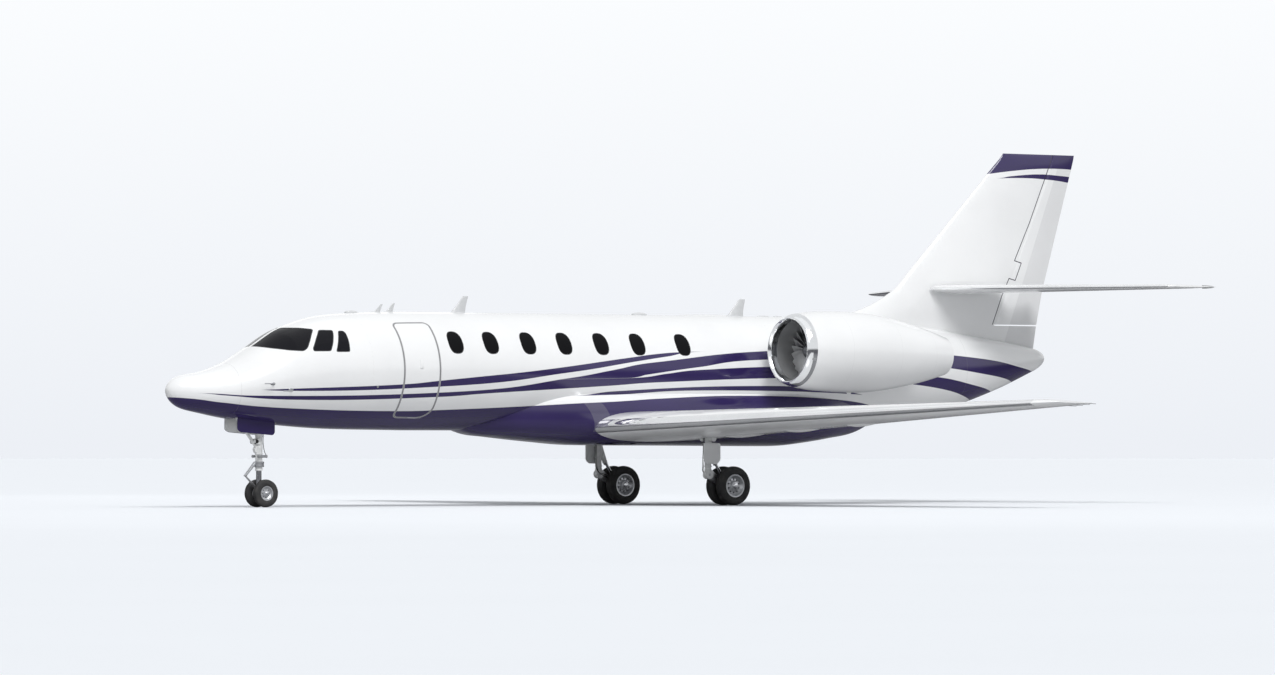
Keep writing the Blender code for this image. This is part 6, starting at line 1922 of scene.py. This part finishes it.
parts = []
out, stemZ, hubX, hubZ = panel["wheel"]
hubX -= halfLength
for y in (-out, out):
    a = np.radians(np.linspace(-125, 125, 44))
    # Two horns: z bulges down in the middle with cos^2 and rises a little at the sides
    z = hubZ + 0.045 - 0.115 * np.cos(a) ** 2 * np.sign(np.cos(a)) * 0.6 + 0.02 * np.abs(np.sin(a))
    horn = np.stack([np.full(44, hubX), y + 0.155 * np.sin(a), z], -1)
    parts += coloured(steel, bar("controlShaft", (face, y, stemZ), (hubX, y, hubZ), 0.014, 24))
    hub = block("wheelHub", (hubX - 0.018, y - 0.05, hubZ - 0.045),
                (hubX + 0.018, y + 0.05, hubZ + 0.03), 0.008)
    parts += coloured(blackPlastic, tube("controlWheel", horn, 0.0125, 14, up=(1, 0, 0)), hub)
finish(joined("controlWheels", parts), "airframe")

# A folding table beside each pair of facing seats, and a rail of trim under the windows and along the ceiling
trim = {"tables": (6.18, 8.68), "table": (0.46, 0.36, 0.765), "tableZ": (2.14, 2.165), "rails": (5.0, 11.5)}
long, near, far = trim["table"]
parts = []
for side in (-1, 1):
    for low in trim["tables"]:
        corners = onBody([(low, side * near), (low + long, side * near), (low + long, side * far),
                          (low, side * far)])
        top = plate("tableTop", roundCorners(corners, 0.03, 7), *trim["tableZ"], "Z")
        parts += coloured(wood, bevelled(top, 0.006))
front, back = [s - halfLength for s in trim["rails"]]
for side in (-1, 1):
    for z, tall in ((2.235, 0.05), (2.98, 0.03)):
        out = math.sqrt((cabinRadius - wall) ** 2 - (z - cabinAxis) ** 2)
        parts += coloured(wood, block("trimRail", (front, side * (out - 0.016), z - tall / 2),
                                      (back, side * (out - 0.001), z + tall / 2), 0.006))
finish(joined("cabinTables", parts), "airframe")
print("inside made")


# Antennas, probes, lights and other small things on the skin

details = {
    "blades": [((5.66, 5.935), (5.91, 6.02), 3.517, 0.17), ((11.50, 11.833), (11.77, 11.90), 3.54, 0.17),
               ((4.07, 4.205), (4.235, 4.275), 3.363, 0.14), ((4.32, 4.465), (4.475, 4.522), 3.383, 0.14)],
    "pods": [(3.515, 3.756, 0.13, 0.052), (9.458, 9.757, 0.15, 0.055), (12.16, 12.43, 0.10, 0.032),
             (12.51, 12.70, 0.08, 0.030)],
    "pitots": ((1.62, 2.02), (1.95, 1.92)), "staticPort": (3.55, 1.98), "serviceCap": (14.9, 2.75),
    "tipLight": (9.47, 0.10, 0.020), "wicks": (9.05, 9.22, 9.40, 9.55), "tracks": (2.05, 3.45, 4.85),
    "tailTip": {"from": 4.15, "out": (4.10, 4.145), "along": (-0.25, -0.01), "radius": 0.034},
}


def onRoof(station, sink=0.012):
    return float(roofAt(np.array([station]))[0]) - sink


def bladeAntenna(name, base, top, height, thick):
    # Rows of airfoils from a wide base to a narrow top swept aft, rounded over at the top
    t = np.append(np.linspace(0, 0.9, 14), roundedEnd(0.9, 1.0, 7))
    low = onRoof(base[0], 0.02)
    z = low + (height - low) * t
    flare = 0.25 * (1 - t) ** 6
    start, end = [base[i] + (top[i] - base[i]) * t + way * flare * (base[1] - base[0]) * 0.4
                  for i, way in ((0, -1), (1, 1))]
    close = np.clip((t - 0.9) / 0.1, 0, 1)
    shrink = (end - start) * 0.18 * (1 - np.sqrt(1 - close**2 * 0.96))
    front, back = [np.stack([x - halfLength, 0 * z, z], -1) for x in (start + shrink, end - shrink * 0.4)]
    thickness = thick * (1 + flare * 2) * np.sqrt(1 - 0.9 * close**2)
    return surface(name, airfoilGrid(front, back, (0, 1, 0), thickness, 24))


def flatPod(name, start, end, wide, tall):
    # A low oval pod: |u|^2.6 + |v|^2.6 = 1 in plan, with a domed top
    t, middle = np.linspace(0, 1, 12), (start + end) / 2
    size = np.concatenate([[1.0], np.sqrt(1 - (t * 0.995) ** 2.2)])[:, None]
    z = onRoof(middle, 0.014) + np.concatenate([[0.0], tall * 0.35 + tall * 0.65 * t])
    plan = oval((0, 0), end - start, wide)
    grid = [size * plan[:, 0] + middle - halfLength, size * plan[:, 1], np.repeat(z[:, None], len(plan), 1)]
    return surface(name, np.stack(grid, -1))


for number, (base, top, height, thick) in enumerate(details["blades"]):
    foot = flatPod("foot", base[0] - 0.03, base[1] + 0.03, (base[1] - base[0]) * 0.42 + 0.02, 0.022)
    parts = coloured(antennaGrey, bladeAntenna("blade", base, top, height, thick), foot)
    finish(joined(f"bladeAntenna{number + 1}", parts), "airframe")
for number, pod in enumerate(details["pods"]):
    finish(flatPod(f"flatPod{number + 1}", *pod), "airframe", antennaGrey)


def skinPoint(station, z, side, lift=0.0):
    # The point of the body's side at a station and height, moved out along its normal
    top, bottom, wide = [float(f(np.array([station]))[0]) for f in (roofAt, keelAt, sideAt)]
    up = (z - (top + bottom) / 2) / ((top - bottom) / 2)
    place = np.array([[station - halfLength, side * wide * math.sqrt(max(0, 1 - up * up)), z]])
    _, normal = bodyDepth(place)
    return place[0] + normal[0] * lift, normal[0]


def skinDisc(name, place, side, radius, tall, wide=None):
    # A small round or oval fitting lying on the skin, domed outwards
    centre, normal = skinPoint(*place, side)
    axis, along, across = frameOf(normal)
    t = np.linspace(0, 1, 8) * math.pi / 2
    plan = oval((0, 0), 2 * radius, 2 * (wide or radius), 40, 2.2)
    size = np.concatenate([[1.0], np.cos(t * 0.98) ** 0.5])[:, None, None]
    lift = np.concatenate([[-0.01], tall * np.sin(t)])[:, None, None]
    return surface(name, centre + size * (plan[:, :1] * along + plan[:, 1:] * across) + lift * axis)


def lens(name, path, radius, steps=20, tall=1.0):
    # A round or oval section, with its own radius at each point of a path
    outline = (circle(1.0, steps) * (1.0, tall))[None] * radius[:, None, None]
    return surface(name, alongPath(path, outline))


# Air data heads and static ports low on the nose, and service caps
fittings = []
for side in (-1, 1):
    for station, z in details["pitots"]:
        start, normal = skinPoint(station, z, side, -0.01)
        bend = start + normal * 0.085
        path = [start, start + normal * 0.05, *[bend - (back, 0, 0) for back in (0.02, 0.07, 0.19)]]
        fittings += [tube("pitotHead", smoothPath(path, 28), 0.0085, 16, up=(0, 0.2, 1)),
                     skinDisc("pitotFoot", (station, z), side, 0.028, 0.006, 0.045)]
    fittings += [skinDisc("staticPort", details["staticPort"], side, 0.022, 0.0015),
                 skinDisc("serviceCap", details["serviceCap"], side, 0.035, 0.002)]
finish(joined("airDataHeads", coloured(steel, *fittings)), "airframe")

for side, word in sides:
    # Wing tip light and static wicks, made on the right and turned over for the left
    out, part, size = details["tipLight"]
    front, back, _ = [v[0] for v in wingAt([out])]
    t = np.linspace(-1, 1, 17)
    bow = np.stack([np.interp(t, [-1, 0, 1], [0.06, 0.0, 0.12]), 0.085 * t, 0 * t], -1)
    tipLens = lens("tipLens", front + (back - front) * part + bow, size * np.sqrt(1 - (t * 0.98) ** 2))
    parts = coloured(redLamp if side < 0 else greenLamp, tipLens)
    for out in details["wicks"]:
        end = wingAt([out])[1][0]
        wick = bar("wick", end - (0.03, 0, 0), end + (0.16, 0.0, -0.004), 0.0035, 10, 0.4)
        parts += coloured(blackPlastic, wick)
    tipSet = joined("tipSet", parts)
    if side < 0:
        rightSet, tipSet = tipSet, mirrorOf(tipSet, "leftSet")
        bpy.data.objects.remove(rightSet, do_unlink=True)
    tipSet.name = word + "WingTipLight"
    finish(tipSet, "airframe")

    # Grey pointed fairing that closes the tailplane's tip
    tip, t = details["tailTip"], np.linspace(0, 1, 16)
    back = planeAt([tip["from"]])[1][0]
    along, out = [tip[key][0] + (tip[key][1] - tip[key][0]) * t for key in ("along", "out")]
    path = np.stack([back[0] + along, side * out, np.full(16, tail["planeZ"])], -1)
    radius = tip["radius"] * np.sqrt(np.maximum(1 - t**1.6, 0.0008))
    finish(lens(word + "TailplaneTip", path, radius, tall=0.9), "tailplane", greyTrim)

    # Flap track fairings under the wing: an oval section whose width and depth swell along the chord
    parts = []
    t = np.linspace(0, 1, 26)
    swell = 0.002 + np.stack([0.034 * np.sin(math.pi * t**0.9) ** 0.6,
                              0.052 * np.sin(math.pi * t**0.8) ** 0.9], -1)
    section = circle(1.0, 24) * swell[:, None]
    for out in details["tracks"]:
        front, back, thick = [v[0] for v in wingAt([out])]
        chord = back - front
        under = airfoilHalf(0.55 + 0.12 * t, thick) * np.linalg.norm(chord) * (1 - wing["lean"])
        centre = front + chord * (0.44 + 0.27 * t)[:, None]
        path = np.stack([centre[:, 0], np.full(26, side * out), centre[:, 2] - under * 0.96 + 0.006], -1)
        grid = path[:, None] + np.stack([0 * section[..., 0], section[..., 0], section[..., 1]], -1)
        parts.append(surface("trackFairing", grid))
    finish(joined(word + "FlapTracks", parts), "airframe", plainPaint)

# The lip's small access plate and the nacelle's drain mast
plateX = np.array([0.085, 0.15])
plateTurn = np.radians(np.linspace(-17.0, -13.0, 5))
mastPoints = [np.array([(a, 0, -0.685), (b, 0, -0.735)]) for a, b in ((1.30, 1.345), (1.40, 1.41))]
for side, word in sides:
    sheets = []
    for lift in (0.0005, 0.003):
        radius = np.interp(plateX, [0.08, 0.17], [0.603, 0.628])[:, None] + lift
        ring = [np.repeat(plateX[:, None], 5, 1), side * radius * np.cos(plateTurn),
                radius * np.sin(plateTurn)]
        sheets.append(np.stack(ring, -1))
    lipPlate = surface("lipPlate", np.concatenate([sheets[0], sheets[1][:, ::-1]], 1))
    mast = surface("drainMast", airfoilGrid(*mastPoints, (0, 1, 0), (0.16, 0.14), 16))
    fittings = coloured(greyTrim, lipPlate) + coloured(plainPaint, mast)
    for piece in fittings:
        piece.matrix_world = enginePlace(side)
        settle(piece)
    finish(joined(word + "EngineFittings", fittings), "airframe")
print("details made")


# Floor, light and camera

stage = {
    "floorBounce": (0.60, 0.605, 0.615), "floorNear": (0.34, 0.345, 0.355), "floorFar": (0.07, 0.07, 0.08),
    "reach": (3.0, 22.0), "horizon": (0.08, 0.082, 0.09), "gloss": 0.85, "floor": (0.86, 0.885, 0.92),
    "sky": (0.965, 0.982, 1.0), "skyLow": (0.845, 0.872, 0.92), "skyStrength": 1.0, "dome": 0.52,
    "camera": (-72.32, -95.83, 1.03), "target": (-0.11, 0.0, 2.855), "lens": 198.55,
    "areas": [("key", (-14, -24, 20), (0, 0, 2), (18, 12), 300),
              ("top", (2, 0, 24), (0, 0, 2), (26, 12), 200),
              ("rim", (6, 24, 12), (2, 0, 3), (16, 8), 150)],
    "sun": ((-6, -18, 22), 2.1, 30),
}


def floorMaterial():
    # It throws back less light than it shows, so that undersides keep their shade, and metal mirrors it as
    # darker far off
    made, tree, shader, place, _, mask, _ = wornMaterial("pale floor", 0.15)
    pale = mixColour(tree, mask, stage["floor"], toned(stage["floor"], 0.985))
    rays = addNode(tree, "ShaderNodeLightPath").outputs
    near, far = stage["reach"]
    away = Signal(addNode(tree, "ShaderNodeVectorMath", {0: place}, operation="LENGTH").outputs["Value"])
    share = (away - near).math("DIVIDE", far - near, clamp=True)
    mirrored = mixColour(tree, share, stage["floorNear"], stage["floorFar"])
    bounced = mixColour(tree, rays["Is Glossy Ray"], stage["floorBounce"], mirrored)
    fill(shader, {"Base Color": mixColour(tree, rays["Is Camera Ray"], bounced, pale), "Roughness": 0.85,
                  "Specular IOR Level": 0.1})
    return made


# A flat disc whose edge lies far out of sight
t = np.arange(96) * math.tau / 96
rings = np.array([0.0, 30.0, 120.0, 400.0])[:, None]
floor = surface("floor", np.stack([rings * np.cos(t), rings * np.sin(t), np.full((4, 96), -0.0005)], -1),
                caps=False)
coloured(floorMaterial(), floor)

world = bpy.data.worlds.new("studio")
bpy.context.scene.world = world
world.use_nodes = True
tree = world.node_tree
tree.nodes.clear()
place = addNode(tree, "ShaderNodeTexCoord").outputs["Generated"]
height = addNode(tree, "ShaderNodeSeparateXYZ", {0: place}).outputs[2]
# The backdrop, the softer light that it gives, and what metal mirrors, which is darker at the horizon
colour = mixColour(tree, mapRange(tree, height, fromMin=0.0, fromMax=0.065), stage["skyLow"], stage["sky"])
mirrored = mixColour(tree, mapRange(tree, height, fromMax=0.10), stage["horizon"], stage["sky"])
seen, dome, gloss = [addNode(tree, "ShaderNodeBackground", {"Strength": stage[key], "Color": tint}).outputs[0]
                     for key, tint in (("skyStrength", colour), ("dome", colour), ("gloss", mirrored))]
rays = addNode(tree, "ShaderNodeLightPath").outputs
lit = addNode(tree, "ShaderNodeMixShader", {0: rays["Is Glossy Ray"], 1: dome, 2: gloss}).outputs[0]
chosen = addNode(tree, "ShaderNodeMixShader", {0: rays["Is Camera Ray"], 1: lit, 2: seen}).outputs[0]
addNode(tree, "ShaderNodeOutputWorld", {"Surface": chosen})


def aimed(name, data, place, target):
    # A light or camera at a place, looking at a target
    made = linked(name, data)
    made.location = place
    made.rotation_euler = (Vector(target) - Vector(place)).to_track_quat("-Z", "Y").to_euler()
    return made


for name, place, target, size, power in stage["areas"]:
    data = bpy.data.lights.new(name, "AREA")
    data.shape, data.size, data.size_y = "RECTANGLE", *size
    data.energy = power
    aimed(name, data, place, target)
place, strength, angle = stage["sun"]
data = bpy.data.lights.new("softSun", "SUN")  # an even light over the whole floor, with soft shadows
data.energy, data.angle = strength, math.radians(angle)
aimed("softSun", data, place, (0, 0, 0))

data = bpy.data.cameras.new("camera")
data.lens, data.sensor_width, data.clip_end = stage["lens"], 36, 1000
bpy.context.scene.camera = aimed("camera", data, stage["camera"], stage["target"])
bpy.context.scene.view_settings.view_transform = "Standard"
print("stage made")

bpy.context.view_layer.update()
